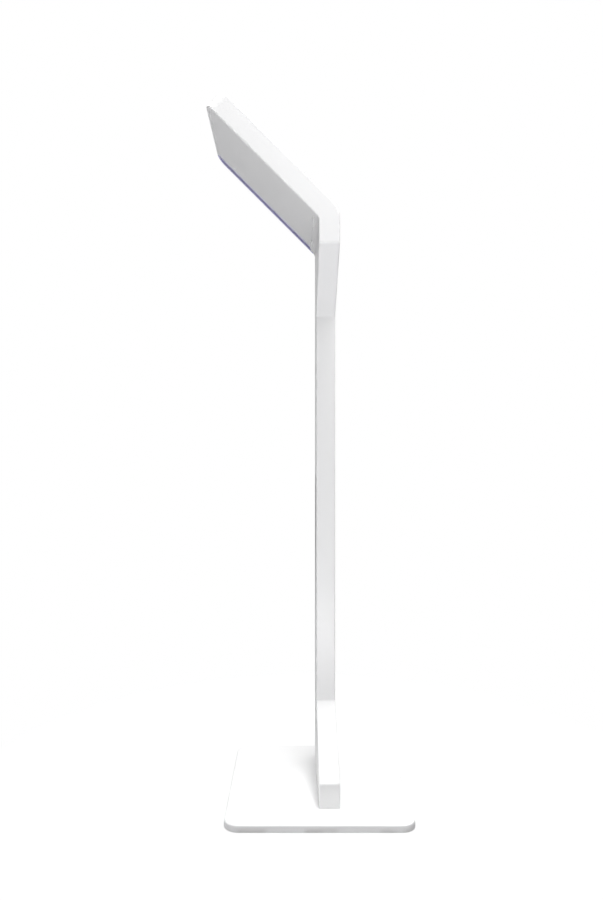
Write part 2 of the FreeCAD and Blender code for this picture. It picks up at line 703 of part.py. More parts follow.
def strip_outline(drawing, spare):
    """Band along the head's straight edge and round its corner, narrowed by spare on all sides."""
    outer = "(%s - %s)" % (STRIP_OUTER, spare)
    inner = "(%s - strip_width + %s)" % (STRIP_OUTER, spare)
    top = "(head_length - strip_inset - %s)" % spare
    under = "(head_length - strip_inset - strip_width + %s)" % spare
    start = "(strip_start + %s)" % spare
    end = "(%s - strip_tail + %s)" % (STRIP_CENTRE_X, spare)
    wide = "(head_corner - strip_inset - %s)" % spare
    tight = "(head_corner - strip_inset - strip_width + %s)" % spare
    outline(drawing, [(inner, start), (outer, start), (outer, STRIP_CENTRE_Y, wide), (STRIP_CENTRE_X, top),
                      (end, top), (end, under), (STRIP_CENTRE_X, under, "-" + tight),
                      (inner, STRIP_CENTRE_Y)])


HINGE_MIDDLES = ["(%s(stand_width / 2 - hinge_margin))" % sign for sign in ("-", "")]


def hinge_spans():
    """Left and right ends of the two hinges."""
    return [("(%s - hinge_half)" % middle, "(%s + hinge_half)" % middle) for middle in HINGE_MIDDLES]


def make_body_shell():
    """Folded sheet shell of foot, column and head, with all its openings."""
    body = slab_body("body_shell", "0", PLATE_TOP)
    soften_outside(body)
    hollow = slab_body("shell_hollow", "wall", "mat_thick")
    core = body.newObject("PartDesign::Boolean", "shell_core")
    core.Type = "Cut"
    core.setObjects([hollow])
    doc.recompute()
    reach = "(wall + loose)"

    window = slope_sketch(body, "glass_window", "slab")
    half = "(%s + seam)" % GLASS_HALF
    rectangle(window, "-" + half, half, GLASS_BOTTOM + " - seam", GLASS_TOP + " + seam",
              "(glass_corner + seam)")
    add_pocket(body, window, reach)

    opening = slope_sketch(body, "cover_opening", reach)
    side, top, low = OPENING_HALF, OPENING_TOP, "(hinge_up - loose)"
    outline(opening, [("-" + side, low), (side, low), (side, "(%s - cover_corner)" % top, "cover_corner"),
                      ("(%s - cover_corner)" % side, top), ("(-%s + cover_corner)" % side, top,
                                                            "cover_corner"),
                      ("-" + side, "(%s - cover_corner)" % top)])
    add_pocket(body, opening, "2 * " + reach)
    for number, (left, right) in enumerate(hinge_spans()):
        relief = slope_sketch(body, "hinge_relief_%d" % number, reach)
        rectangle(relief, left + " - loose", right + " + loose", "hinge_up - hinge_radius - 2 * loose",
                  "hinge_up")
        add_pocket(body, relief, "2 * " + reach)

    slot = slope_sketch(body, "strip_slot", reach)
    strip_outline(slot, "0")
    add_pocket(body, slot, "2 * " + reach)

    rear = new_sketch(body, "rear_opening", "XZ_Plane", reach)
    rectangle(rear, NOTCH_X + " + panel_side", HALF_WIDTH + " - panel_side", PLATE_TOP + " + panel_low",
              PLATE_TOP + " + " + PANEL_HIGH, "panel_corner")
    add_pocket(body, rear, "2 * " + reach)

    wall_side = side_sketch(body, "side_holes", HALF_WIDTH + " + loose")
    circle(wall_side, LOCK_UP, "lock_rise", "(lock_radius + fit)")
    circle(wall_side, "button_up", "button_rise", "(button_radius + button_sleeve + 2 * fit)")
    for column in range(int(value("grille_across"))):
        up = "speaker_low + speaker_long / 2 + grille_pitch * (%d - (grille_across - 1) / 2)" % column
        for row in range(int(value("grille_rows"))):
            rise = "speaker_rise + speaker_high / 2 + grille_pitch * (%d - (grille_rows - 1) / 2)" % row
            circle(wall_side, up, rise, "grille_radius")
    add_pocket(body, wall_side, "wall + 2 * loose")
    return body


# ---------------------------------------------------------------- spine, rear panel, gussets

def make_spine():
    """Lipped channel that fills the column, with a slot for the lead at its foot."""
    body = new_body("spine")
    section = new_sketch(body, "spine_section", lift=FLANGE_TOP)
    front, rear = "(-slab + wall)", "(-wall)"
    left, right = SPINE_LEFT, SPINE_RIGHT
    inner_left, inner_right = "(%s + spine_thick)" % left, "(%s - spine_thick)" % right
    lip_left, lip_right = "(%s + spine_lip)" % left, "(%s - spine_lip)" % right
    web, lip = "(%s + spine_thick)" % front, "(%s - spine_thick)" % rear
    outline(section, [(left, front), (right, front), (right, rear), (lip_right, rear), (lip_right, lip),
                      (inner_right, lip), (inner_right, web), (inner_left, web), (inner_left, lip),
                      (lip_left, lip), (lip_left, rear), (left, rear)])
    add_pad(body, section, "bend_height - spine_drop - flange_thick")
    slot = new_sketch(body, "spine_lead_hole", "YZ_Plane", left + " + spine_thick + loose")
    rectangle(slot, BOLT_Y + " - lead_radius * 2", BOLT_Y + " + lead_radius * 2",
              PLATE_TOP + " + lead_rise - lead_radius * 2", PLATE_TOP + " + lead_rise + lead_radius * 2")
    add_pocket(body, slot, "spine_thick + 2 * loose")
    for side, x in enumerate(PANEL_SCREW_X):
        holes = new_sketch(body, "spine_screw_holes_%d" % side, "XZ_Plane", "wall - loose")
        for z in PANEL_SCREW_Z:
            circle(holes, x, z, "(screw_radius + fit)")
        add_pocket(body, holes, "spine_thick + 2 * loose", upward=True)
    return body


PANEL_SCREW_X = [NOTCH_X + " + panel_side + screw_inset", HALF_WIDTH + " - panel_side - screw_inset"]
SCREW_GAP = "((%s - panel_low - 2 * screw_margin) / (screw_rows - 1))" % PANEL_HIGH
PANEL_SCREW_Z = ["%s + panel_low + screw_margin + %d * %s" % (PLATE_TOP, row, SCREW_GAP)
                 for row in range(int(value("screw_rows")))]


def make_rear_panel():
    """Flat panel that closes the column's back, flush with the shell."""
    body = new_body("rear_panel")
    sheet_outline = new_sketch(body, "rear_panel_outline", "XZ_Plane")
    rectangle(sheet_outline, NOTCH_X + " + panel_side + seam", HALF_WIDTH + " - panel_side - seam",
              PLATE_TOP + " + panel_low + seam", PLATE_TOP + " + %s - seam" % PANEL_HIGH,
              "(panel_corner - seam)")
    add_pad(body, sheet_outline, "wall")
    sinks = []
    for side, x in enumerate(PANEL_SCREW_X):
        for row, z in enumerate(PANEL_SCREW_Z):
            name = "panel_sink_%d_%d" % (side, row)
            sinks.append(taper(name, "screw_head + fit", "screw_radius + fit", "screw_cone", (x, "0", z),
                               "front"))
            sinks.append(rod(name + "_hole", "screw_radius + fit", "wall", (x, "0", z), "front"))
    return less("rear_panel_sunk", body, joined("panel_sinks", sinks))


def make_panel_screws():
    """Countersunk screws through the rear panel into the spine's lips."""
    screws = []
    for side, x in enumerate(PANEL_SCREW_X):
        for row, z in enumerate(PANEL_SCREW_Z):
            name = "panel_screw_%d_%d" % (side, row)
            head = taper(name + "_head", "screw_head", "screw_radius", "screw_cone", (x, "0", z), "front")
            shank = rod(name + "_shank", "screw_radius", "screw_reach", (x, "0", z), "front")
            socket = rod(name + "_socket", "screw_radius * 0.6", "screw_cone * 0.6", (x, "0", z), "front")
            screws.append(less(name, joined(name + "_blank", [head, shank]), socket))
    return group("panel_screws", screws)


GUSSET_TOP = "(slab - gusset_front)"
GUSSET_REACH = "(%s + gusset_grip)" % TRAY_LOW


def make_gussets():
    """Two bent plates that carry the head's load into the spine."""
    plates = []
    half_turn = "tan(45 - tilt / 2)"
    rear, front = "(-gusset_rear)", "(-slab + gusset_front)"
    low = "(%s - gusset_drop)" % BEND_Z
    for number, left in enumerate([SPINE_LEFT + " + spine_thick",
                                   SPINE_RIGHT + " - spine_thick - gusset_thick"]):
        body = new_body("gusset_%d" % number)
        profile = new_sketch(body, "gusset_profile_%d" % number, "YZ_Plane", left)
        outline(profile, [(front, low), (rear, low),
                          slope_point("-gusset_rear * " + half_turn, "gusset_rear"),
                          slope_point(GUSSET_REACH, "gusset_rear"), slope_point(GUSSET_REACH, GUSSET_TOP),
                          slope_point("-%s * %s" % (GUSSET_TOP, half_turn), GUSSET_TOP)])
        add_pad(body, profile, "gusset_thick")
        plates.append(body)
    return group("gussets", plates)


def make_head_bracket():
    """Plate on the gussets that the display tray is screwed to."""
    right = SPINE_RIGHT + " - spine_thick"
    return in_head(block("head_bracket", "-bracket_left", right, TRAY_LOW + " + bracket_gap", GUSSET_REACH,
                         GUSSET_TOP,
                         TRAY_BACK, "gusset_thick"))


# ---------------------------------------------------------------- display

def make_touch_glass():
    """Cover glass, flush with the bezel."""
    return in_head(block("touch_glass", "-" + GLASS_HALF, GLASS_HALF, GLASS_BOTTOM, GLASS_TOP, GLASS_UNDER,
                         "slab",
                         "glass_corner"))


def glass_frame(drawing, grow, corner):
    """Rectangle round the glass, grown by a formula."""
    rectangle(drawing, "(-%s - (%s))" % (GLASS_HALF, grow), "(%s + (%s))" % (GLASS_HALF, grow),
              "(%s - (%s))" % (GLASS_BOTTOM, grow), "(%s + (%s))" % (GLASS_TOP, grow), corner)


STUD_SIDE = "(%s + flange_reach - stud_inset)" % GLASS_HALF
STUD_LOW = "(%s - flange_reach + stud_inset)" % GLASS_BOTTOM
STUD_HIGH = "(%s + flange_reach - stud_inset)" % GLASS_TOP
STUD_SPOTS = [(side + STUD_SIDE, "(%s + (%s - %s) * %d / 3)" % (STUD_LOW, STUD_HIGH, STUD_LOW, step))
              for side in ("-", "") for step in (0, 1, 2, 3)]


def make_glass_gasket():
    """Stepped gasket: thin under the glass, thick between bezel and tray flange."""
    body = new_body("glass_gasket")
    outer = new_sketch(body, "gasket_outer", lift=FLANGE_OVER)
    glass_frame(outer, "flange_reach", "glass_corner + flange_reach")
    add_pad(body, outer, "(slab - wall) - %s" % FLANGE_OVER)
    step = new_sketch(body, "gasket_step", lift="slab - wall")
    glass_frame(step, "seam", "glass_corner + seam")
    add_pocket(body, step, "(slab - wall) - %s" % GLASS_UNDER)
    hole = new_sketch(body, "gasket_hole", lift=GLASS_UNDER)
    glass_frame(hole, "-gasket_cover", "(glass_corner / 2)")
    add_pocket(body, hole, "gasket_inner")
    cut_holes(body, "gasket_studs", STUD_SPOTS, "(stud_radius + loose)", "slab - wall", "wall")
    return in_head(body)


TRAY_FLOOR = "(%s + tray_thick)" % TRAY_BACK
BOARD_RIGHT = "(stand_width / 2 - board_side)"
BOARD_LEFT = "(stand_width / 2 - board_side - board_width)"
BOARD_TOP = "(head_length - board_drop)"
BOARD_SPOTS = [("(%s %s board_inset)" % (side, inward), "(%s)" % height)
               for side, inward in ((BOARD_LEFT, "+"), (BOARD_RIGHT, "-"))
               for height in ("board_low + connector_long + board_inset", BOARD_TOP + " - board_inset")]


def make_display_tray():
    """Pressed tray that holds the display panel, hung from the bezel's studs."""
    body = new_body("display_tray")
    flange = new_sketch(body, "tray_flange", lift=FLANGE_UNDER)
    glass_frame(flange, "flange_reach", "glass_corner + flange_reach")
    add_pad(body, flange, "tray_thick")
    box = new_sketch(body, "tray_box", lift=TRAY_BACK)
    rectangle(box, "-" + TRAY_SIDE, TRAY_SIDE, TRAY_LOW, TRAY_HIGH, "(2 * tray_thick)")
    add_pad(body, box, "tray_depth")
    inside = new_sketch(body, "tray_inside", lift=FLANGE_OVER)
    rectangle(inside, "-(%s - tray_thick)" % TRAY_SIDE, "(%s - tray_thick)" % TRAY_SIDE,
              TRAY_LOW + " + tray_thick",
              TRAY_HIGH + " - tray_thick", "tray_thick")
    add_pocket(body, inside, "%s - %s" % (FLANGE_OVER, TRAY_FLOOR))
    cut_holes(body, "tray_stud_holes", STUD_SPOTS, "(stud_radius + loose)", FLANGE_OVER, "tray_thick")
    return in_head(body)


def make_display_panel():
    """Display module in the tray."""
    side = "(%s - tray_thick - panel_gap)" % TRAY_SIDE
    return in_head(block("display_panel", "-" + side, side, TRAY_LOW + " + tray_thick + panel_gap",
                         TRAY_HIGH + " - tray_thick - panel_gap", TRAY_FLOOR, GLASS_UNDER + " - panel_gap",
                         "(tray_thick)"))


def make_tray_studs():
    """Studs welded to the bezel's inner face."""
    studs = [rod("tray_stud_%d" % number, "stud_radius", "stud_length", (x, y, "slab - wall"), "down")
             for number, (x, y) in enumerate(STUD_SPOTS)]
    return in_head(group("tray_studs", studs))


def make_tray_nuts():
    """Hexagon nuts that clamp the tray flange."""
    nuts = []
    for number, (x, y) in enumerate(STUD_SPOTS):
        blank = doc.addObject("Part::Prism", "nut_blank_%d" % number)
        blank.Polygon = 6
        formula(blank, "Circumradius", "nut_across / 2 / cos(30)")
        formula(blank, "Height", "nut_thick")
        set_place(blank, (x, y, FLANGE_UNDER), "down")
        bore = rod("nut_bore_%d" % number, "stud_radius + fit", "nut_thick", (x, y, FLANGE_UNDER), "down")
        nuts.append(less("tray_nut_%d" % number, blank, bore))
    return in_head(group("tray_nuts", nuts))


# ---------------------------------------------------------------- electronics

def make_board_standoffs():
    """Four spacers between tray and main board."""
    posts = []
    for number, (x, y) in enumerate(BOARD_SPOTS):
        outside = rod("standoff_out_%d" % number, "standoff_radius", "standoff_length", (x, y, TRAY_BACK),
                      "down")
        bore = rod("standoff_bore_%d" % number, "board_screw + fit", "standoff_length", (x, y, TRAY_BACK),
                   "down")
        posts.append(less("standoff_%d" % number, outside, bore))
    return in_head(group("board_standoffs", posts))


def make_main_board():
    """Computer board hung under the tray."""
    body = block("main_board", BOARD_LEFT, BOARD_RIGHT, "board_low", BOARD_TOP, BOARD_UNDER, BOARD_OVER,
                 "(board_inset / 2)")
    cut_holes(body, "board_holes", BOARD_SPOTS, "(board_screw + fit)", BOARD_OVER, "board_thick")
    return in_head(body)


def make_board_screws():
    """Pan head screws up through the board into the standoffs."""
    screws = []
    for number, (x, y) in enumerate(BOARD_SPOTS):
        head = rod("board_head_%d" % number, "board_head", "board_head_high", (x, y, BOARD_UNDER), "down")
        shank = rod("board_shank_%d" % number, "board_screw", "board_thick + standoff_length - loose",
                    (x, y, BOARD_UNDER))
        screws.append(joined("board_screw_%d" % number, [head, shank]))
    return in_head(group("board_screws", screws))


SINK_LEFT = "(%s + sink_in)" % BOARD_LEFT
SINK_LOW = "((board_low + %s - sink_size) / 2)" % BOARD_TOP


def make_heat_sink():
    """Finned block under the board's processor."""
    body = new_body("heat_sink")
    foot = new_sketch(body, "sink_foot", lift=BOARD_UNDER + " - sink_base")
    rectangle(foot, SINK_LEFT, SINK_LEFT + " + sink_size", SINK_LOW, SINK_LOW + " + sink_size")
    add_pad(body, foot, "sink_base")
    fin = new_sketch(body, "sink_fin_outline", lift=BOARD_UNDER + " - sink_base")
    rectangle(fin, SINK_LEFT, SINK_LEFT + " + sink_fin_thick", SINK_LOW, SINK_LOW + " + sink_size")
    first = add_pad(body, fin, "sink_fin", downward=True)
    row = body.newObject("PartDesign::LinearPattern", "sink_fins")
    row.Originals = [first]
    row.Direction = (fin, ["H_Axis"])
    formula(row, "Length", "floor((sink_size - sink_fin_thick) / sink_pitch) * sink_pitch")
    row.Occurrences = int((value("sink_size") - value("sink_fin_thick")) / value("sink_pitch")) + 1
    body.Tip = row
    doc.recompute()
    return in_head(body)


CONNECTOR_LOW = "(board_low - board_inset)"


def make_power_connector():
    """Socket on the board's lower edge that takes the power lead."""
    return in_head(block("power_connector", COLUMN_MIDDLE + " - connector_wide / 2",
                         COLUMN_MIDDLE + " + connector_wide / 2", CONNECTOR_LOW,
                         CONNECTOR_LOW + " + connector_long",
                         BOARD_UNDER + " - connector_high", BOARD_UNDER, "board_thick / 2"))


def make_speaker():
    """Small box speaker behind the grille in the side wall."""
    right = "(%s - wall)" % HALF_WIDTH
    body = block("speaker", right + " - speaker_deep", right, "speaker_low", "speaker_low + speaker_long",
                 "speaker_rise", "speaker_rise + speaker_high")
    face = new_sketch(body, "speaker_mouth", "YZ_Plane", right)
    rectangle(face, "speaker_low + wall", "speaker_low + speaker_long - wall", "speaker_rise + wall",
              "speaker_rise + speaker_high - wall", "wall")
    add_pocket(body, face, "wall")
    return in_head(body)


# ---------------------------------------------------------------- power button

SLEEVE_OUT = "(button_radius + fit + button_sleeve)"


def make_button_ring():
    """Ring and sleeve that guide the power button."""
    start = "(%s - wall - button_depth)" % HALF_WIDTH
    sleeve = rod("ring_sleeve", SLEEVE_OUT, "wall + button_depth", (start, "button_up", "button_rise"), "x")
    face = rod("ring_face", "button_ring", "ring_thick", (HALF_WIDTH, "button_up", "button_rise"), "x")
    bore = rod("ring_bore", "button_radius + fit", "wall + button_depth - button_sleeve + ring_thick",
               (start + " + button_sleeve", "button_up", "button_rise"), "x")
    return in_head(less("button_ring", joined("ring_blank", [sleeve, face]), bore))


def make_power_button():
    """Cap of the power button, clear of the sleeve's floor by more than its travel."""
    start = "(%s - wall - button_depth + button_sleeve + button_travel + loose)" % HALF_WIDTH
    end = "(%s + ring_thick + button_proud)" % HALF_WIDTH
    cap = rod("power_button", "button_radius", "%s - %s" % (end, start),
              (start, "button_up", "button_rise"), "x")
    return in_head(group("power_button_cap", [cap]))


# ---------------------------------------------------------------- service cover and hinge

COVER_SIDE = "(%s - seam)" % OPENING_HALF
COVER_TOP = "(%s - seam)" % OPENING_TOP
COVER_CORNER = "(cover_corner - seam)"


def make_service_cover():
    """Drop-down panel in the head's underside: a skin with three folded edges."""
    body = new_body("service_cover")
    skin = new_sketch(body, "cover_skin")
    low = "(hinge_up + loose)"
    bend_y = "(%s - %s)" % (COVER_TOP, COVER_CORNER)
    bend_x = "(%s - %s)" % (COVER_SIDE, COVER_CORNER)
    outline(skin, [("-" + COVER_SIDE, low), (COVER_SIDE, low), (COVER_SIDE, bend_y, COVER_CORNER),
                   (bend_x, COVER_TOP),
                   ("-" + bend_x, COVER_TOP, COVER_CORNER), ("-" + COVER_SIDE, bend_y)])
    add_pad(body, skin, "cover_flange")
    inside = new_sketch(body, "cover_inside", lift="cover_flange")
    side, top = "(%s - cover_thick)" % COVER_SIDE, "(%s - cover_thick)" % COVER_TOP
    turn = "(%s - cover_thick)" % COVER_CORNER
    outline(inside, [("-" + side, "0"), (side, "0"), (side, bend_y, turn), (bend_x, top),
                     ("-" + bend_x, top, turn),
                     ("-" + side, bend_y)])
    add_pocket(body, inside, "cover_flange - cover_thick")
    for number, (left, right) in enumerate(hinge_spans()):
        relief = new_sketch(body, "cover_relief_%d" % number, lift="cover_flange")
        rectangle(relief, left + " - loose", right + " + loose", "0", "hinge_up + hinge_radius + 2 * loose")
        add_pocket(body, relief, "cover_flange")
    cut_holes(body, "cover_screw_hole", [("thumb_side", THUMB_UP)], "(thumb_shank + fit)", "cover_flange",
              "cover_flange")
    return in_head(body)


def knuckle(name, left, right):
    """Hinge barrel on the hinge line, bored for the pin."""
    barrel = rod(name + "_barrel", "hinge_radius", "(%s) - (%s)" % (right, left), (left, "hinge_up", "0"),
                 "x")
    return barrel


def make_fixed_hinges():
    """Fixed halves of the two hinges: leaf, two tabs and two knuckles each."""
    halves = []
    for number, middle in enumerate(HINGE_MIDDLES):
        name = "fixed_hinge_%d" % number
        pieces = [brick(name + "_leaf", middle + " - hinge_half", middle + " + hinge_half",
                        "hinge_up - hinge_radius - loose - leaf_reach", "hinge_up - hinge_radius - loose",
                        "wall",
                        "wall + leaf_thick")]
        spans = [(middle + " - hinge_half", middle + " - knuckle_half - loose / 2"),
                 (middle + " + knuckle_half + loose / 2", middle + " + hinge_half")]
        for side, (left, right) in enumerate(spans):
            pieces.append(brick("%s_tab_%d" % (name, side), left, right,
                                "hinge_up - hinge_radius - 2 * loose",
                                "hinge_up", "wall", "wall + leaf_thick"))
            pieces.append(brick("%s_web_%d" % (name, side), left, right, "hinge_up - hinge_radius",
                                "hinge_up - hinge_radius + leaf_thick", "0", "wall + leaf_thick"))
            pieces.append(knuckle("%s_%d" % (name, side), left, right))
        bore = rod(name + "_bore", "pin_radius + fit", "2 * hinge_half",
                   (middle + " - hinge_half", "hinge_up", "0"),
                   "x")
        halves.append(less(name, joined(name + "_blank", pieces), bore))
    return in_head(group("fixed_hinges", halves))


def make_cover_hinges():
    """Moving halves of the two hinges, on the cover's skin."""
    halves = []
    for number, middle in enumerate(HINGE_MIDDLES):
        name = "cover_hinge_%d" % number
        left, right = middle + " - knuckle_half + loose / 2", middle + " + knuckle_half - loose / 2"
        start = "hinge_up + hinge_radius + 2 * loose"
        pieces = [brick(name + "_leaf", middle + " - hinge_half", middle + " + hinge_half", start,
                        "hinge_up + leaf_cover", "cover_thick", "cover_thick + leaf_thick"),
                  brick(name + "_tab", left, right, "hinge_up", start + " + leaf_thick", "cover_thick",
                        "cover_thick + leaf_thick"),
                  knuckle(name, left, right)]
        bore = rod(name + "_bore", "pin_radius + fit", "2 * hinge_half",
                   (middle + " - hinge_half", "hinge_up", "0"),
                   "x")
        halves.append(less(name, joined(name + "_blank", pieces), bore))
    return in_head(group("cover_hinges", halves))


def make_hinge_pins():
    """Pins through the knuckles."""
    pins = [rod("hinge_pin_%d" % number, "pin_radius", "2 * hinge_half",
                (middle + " - hinge_half", "hinge_up", "0"),
                "x") for number, middle in enumerate(HINGE_MIDDLES)]
    return in_head(group("hinge_pins", pins))


LEDGE_SIDE = "(%s - wall)" % HALF_WIDTH
LEDGE_TOP = "(head_length - wall)"


def make_cover_ledge():
    """Three-sided frame inside the shell that the closed cover rests against."""
    body = new_body("cover_ledge")
    turn = "(head_corner - wall + loose)"
    outer = new_sketch(body, "ledge_outer", lift="ledge_low")
    outline(outer, [("-" + LEDGE_SIDE, "ledge_start"), (LEDGE_SIDE, "ledge_start"),
                    (LEDGE_SIDE, "(%s - %s)" % (LEDGE_TOP, turn), turn),
                    ("(%s - %s)" % (LEDGE_SIDE, turn), LEDGE_TOP),
                    ("-(%s - %s)" % (LEDGE_SIDE, turn), LEDGE_TOP, turn),
                    ("-" + LEDGE_SIDE, "(%s - %s)" % (LEDGE_TOP, turn))])
    add_pad(body, outer, "ledge_thick")
    inner = new_sketch(body, "ledge_inner_outline", lift="ledge_low + ledge_thick")
    side, top = "(%s - ledge_inner)" % OPENING_HALF, "(%s - ledge_inner)" % OPENING_TOP
    rectangle(inner, "-" + side, side, "0", top, "(cover_corner / 2)")
    add_pocket(body, inner, "ledge_thick")
    return in_head(body)


def make_cover_seal():
    """Foam strip on the ledge, under the cover's folded edges."""
    body = new_body("cover_seal")
    under = "(ledge_low - seal_thick)"
    outer = new_sketch(body, "seal_outer", lift=under)
    side = "(%s - ledge_inner + seal_width + seam)" % OPENING_HALF
    top = "(%s - ledge_inner + seal_width + seam)" % OPENING_TOP
    rectangle(outer, "-" + side, side, "ledge_start", top, "(cover_corner / 2)")
    add_pad(body, outer, "seal_thick")
    inner = new_sketch(body, "seal_inner", lift="ledge_low")
    rectangle(inner, "-(%s - seal_width)" % side, "(%s - seal_width)" % side, "0", top + " - seal_width",
              "(cover_corner / 4)")
    add_pocket(body, inner, "seal_thick")
    return in_head(body)


def make_cover_screw():
    """Captive screw of the cover, with a low domed head."""
    place = ("thumb_side", THUMB_UP, "0")
    head = taper("thumb_head_cone", "thumb_head", "thumb_head * 0.6", "thumb_dome", place, "down")
    shank = rod("thumb_shank_rod", "thumb_shank", "thumb_length", place)
    socket = rod("thumb_socket", "thumb_shank * 0.6", "thumb_dome",
                 ("thumb_side", THUMB_UP, "-thumb_dome * 1.4"))
    return in_head(less("cover_screw", joined("thumb_blank", [head, shank]), socket))


def make_screw_receiver():
    """Post under the main board's tray that takes the cover screw."""
    base = rod("receiver_post", "post_radius", "%s - (cover_thick + 2 * seam)" % TRAY_BACK,
               ("thumb_side", THUMB_UP, "cover_thick + 2 * seam"))
    bore = rod("receiver_bore", "thumb_shank + post_play", "thumb_length + seam",
               ("thumb_side", THUMB_UP, "cover_thick + 2 * seam"))
    return in_head(less("screw_receiver", base, bore))


# ---------------------------------------------------------------- lock

LOCK_PLACE = (LOCK_UP, "lock_rise")


def make_lock_barrel():
    """Fixed body of the cam lock in the side wall."""
    start = "(%s - wall - lock_depth)" % HALF_WIDTH
    shank = rod("lock_shank", "lock_radius", "wall + lock_depth", (start,) + LOCK_PLACE, "x")
    face = rod("lock_flange", "lock_face", "ring_thick", (HALF_WIDTH,) + LOCK_PLACE, "x")
    bore = rod("lock_bore", "lock_plug + fit", "wall + lock_depth + ring_thick", (start,) + LOCK_PLACE, "x")
    return in_head(less("lock_barrel", joined("lock_blank", [shank, face]), bore))


def make_lock_plug():
    """Turning plug with its key slot and the stem that carries the cam."""
    start = "(%s - wall - lock_depth)" % HALF_WIDTH
    end = "(%s + ring_thick + plug_proud)" % HALF_WIDTH
    plug = rod("plug_round", "lock_plug", "%s - %s" % (end, start), (start,) + LOCK_PLACE, "x")
    stem = rod("plug_stem", "stem_radius", "2 * cam_thick", (start + " - 2 * cam_thick",) + LOCK_PLACE, "x")
    slot = brick("plug_slot", end + " - lock_plug", end, LOCK_UP + " - stem_radius * 1.2",
                 LOCK_UP + " + stem_radius * 1.2",
                 "lock_rise - stem_radius / 4", "lock_rise + stem_radius / 4")
    return in_head(less("lock_plug", joined("plug_blank", [plug, stem]), slot))


def make_lock_cam():
    """Cam arm on the stem, shown unlocked: it points at the cover's skin."""
    left, right = CAM_INNER, CAM_INNER + " + cam_thick"
    hub = rod("cam_hub", "cam_half", "cam_thick", (left,) + LOCK_PLACE, "x")
    arm = brick("cam_arm", left, right, LOCK_UP + " - cam_half", LOCK_UP + " + cam_half",
                "lock_rise - cam_reach",
                "lock_rise")
    bore = rod("cam_bore", "stem_radius", "cam_thick", (left,) + LOCK_PLACE, "x")
    return in_head(less("lock_cam", joined("cam_blank", [hub, arm]), bore))


def make_cam_nut():
    """Hexagon nut that holds the cam on the stem."""
    blank = doc.addObject("Part::Prism", "cam_nut_blank")
    blank.Polygon = 6
    formula(blank, "Circumradius", "nut_across / 2 / cos(30) + stem_radius / 2")
    formula(blank, "Height", "cam_thick")
    set_place(blank, (CAM_INNER + " - cam_thick",) + LOCK_PLACE, "x")
    bore = rod("cam_nut_bore", "stem_radius", "cam_thick", (CAM_INNER + " - cam_thick",) + LOCK_PLACE, "x")
    return in_head(less("cam_nut", blank, bore))


def make_lock_strike():
    """Hooked bracket on the cover: its lip passes over the cam's arm when locked."""
    right = "(%s - ledge_inner - seam - loose)" % OPENING_HALF
    left = right + " - strike_wide"
    swing = "sqrt(cam_reach * cam_reach + cam_half * cam_half)"
    upright = "(%s + %s + seam)" % (LOCK_UP, swing)
    under = "(lock_rise + cam_half + seam)"
    foot = brick("strike_foot", left, right, upright, upright + " + 3 * strike_thick", "cover_thick",
                 "cover_thick + strike_thick")
    post = brick("strike_post", left, right, upright, upright + " + strike_thick", "cover_thick",
                 under + " + strike_thick")
    lip = brick("strike_lip", left, right, LOCK_UP + " + cam_reach - strike_grip",
                upright + " + strike_thick", under,
                under + " + strike_thick")
    return in_head(joined("lock_strike", [foot, post, lip]))


# ---------------------------------------------------------------- light strip

def make_light_strip():
    """Tinted diffuser along the head's straight lower edge and round its upper corner."""
    body = new_body("light_strip")
    band = new_sketch(body, "light_strip_outline")
    strip_outline(band, "strip_fit")
    add_pad(body, band, "wall")
    return in_head(body)


def make_light_board():
    """Narrow board with the strip's lamps, on the inside of the rim."""
    margin = "(strip_fit + loose)"
    right = "(%s - wall - %s)" % (HALF_WIDTH, margin)
    return in_head(block("light_board", "(%s - strip_width - %s)" % (STRIP_OUTER, margin), right,
                         "strip_start",
                         "(head_length - head_corner)", "wall", "wall + board_strip"))


# ---------------------------------------------------------------- power supply and lead

SUPPLY_LEFT = "(-stand_width / 2 + supply_margin)"
SUPPLY_RIGHT = "(stand_width / 2 - column_width - supply_gap)"


def make_power_supply():
    """Closed mains adapter lying in the foot."""
    low = FLANGE_TOP + " + entry_wall / 5"
    body = block("power_supply", SUPPLY_LEFT, SUPPLY_RIGHT, BOLT_Y + " - supply_wide / 2",
                 BOLT_Y + " + supply_wide / 2", low, low + " + supply_high", "supply_round")
    floor = value(FLANGE_TOP + " + entry_wall / 5")
    top = floor + value("supply_high")
    round_edges(body, "supply_round / 2", lambda edge: near(edge.BoundBox.ZMin, top))
    inlet = new_sketch(body, "mains_inlet", "YZ_Plane", SUPPLY_LEFT)
    rectangle(inlet, BOLT_Y + " - supply_wide / 4", BOLT_Y + " + supply_wide / 4",
              FLANGE_TOP + " + supply_high / 3", FLANGE_TOP + " + supply_high * 2 / 3", "supply_round")
    add_pocket(body, inlet, "supply_round * 4", upward=True)
    return body


def make_supply_strap():
    """Bent strap over the power supply, standing on the flange."""
    middle = "((%s + %s) / 2)" % (SUPPLY_LEFT, SUPPLY_RIGHT)
    body = new_body("supply_strap")
    bow = new_sketch(body, "strap_bow", "YZ_Plane", middle + " - strap_wide / 2")
    half = "(supply_wide / 2 + loose)"
    top = "(%s + entry_wall / 5 + supply_high + loose)" % FLANGE_TOP
    outline(bow, [("%s - %s - strap_thick" % (BOLT_Y, half), FLANGE_TOP),
                  ("%s - %s" % (BOLT_Y, half), FLANGE_TOP),
                  ("%s - %s" % (BOLT_Y, half), top), ("%s + %s" % (BOLT_Y, half), top),
                  ("%s + %s" % (BOLT_Y, half), FLANGE_TOP), ("%s + %s + strap_thick" % (BOLT_Y, half),
                                                             FLANGE_TOP),
                  ("%s + %s + strap_thick" % (BOLT_Y, half), top + " + strap_thick"),
                  ("%s - %s - strap_thick" % (BOLT_Y, half), top + " + strap_thick")])
    add_pad(body, bow, "strap_wide")
    return body


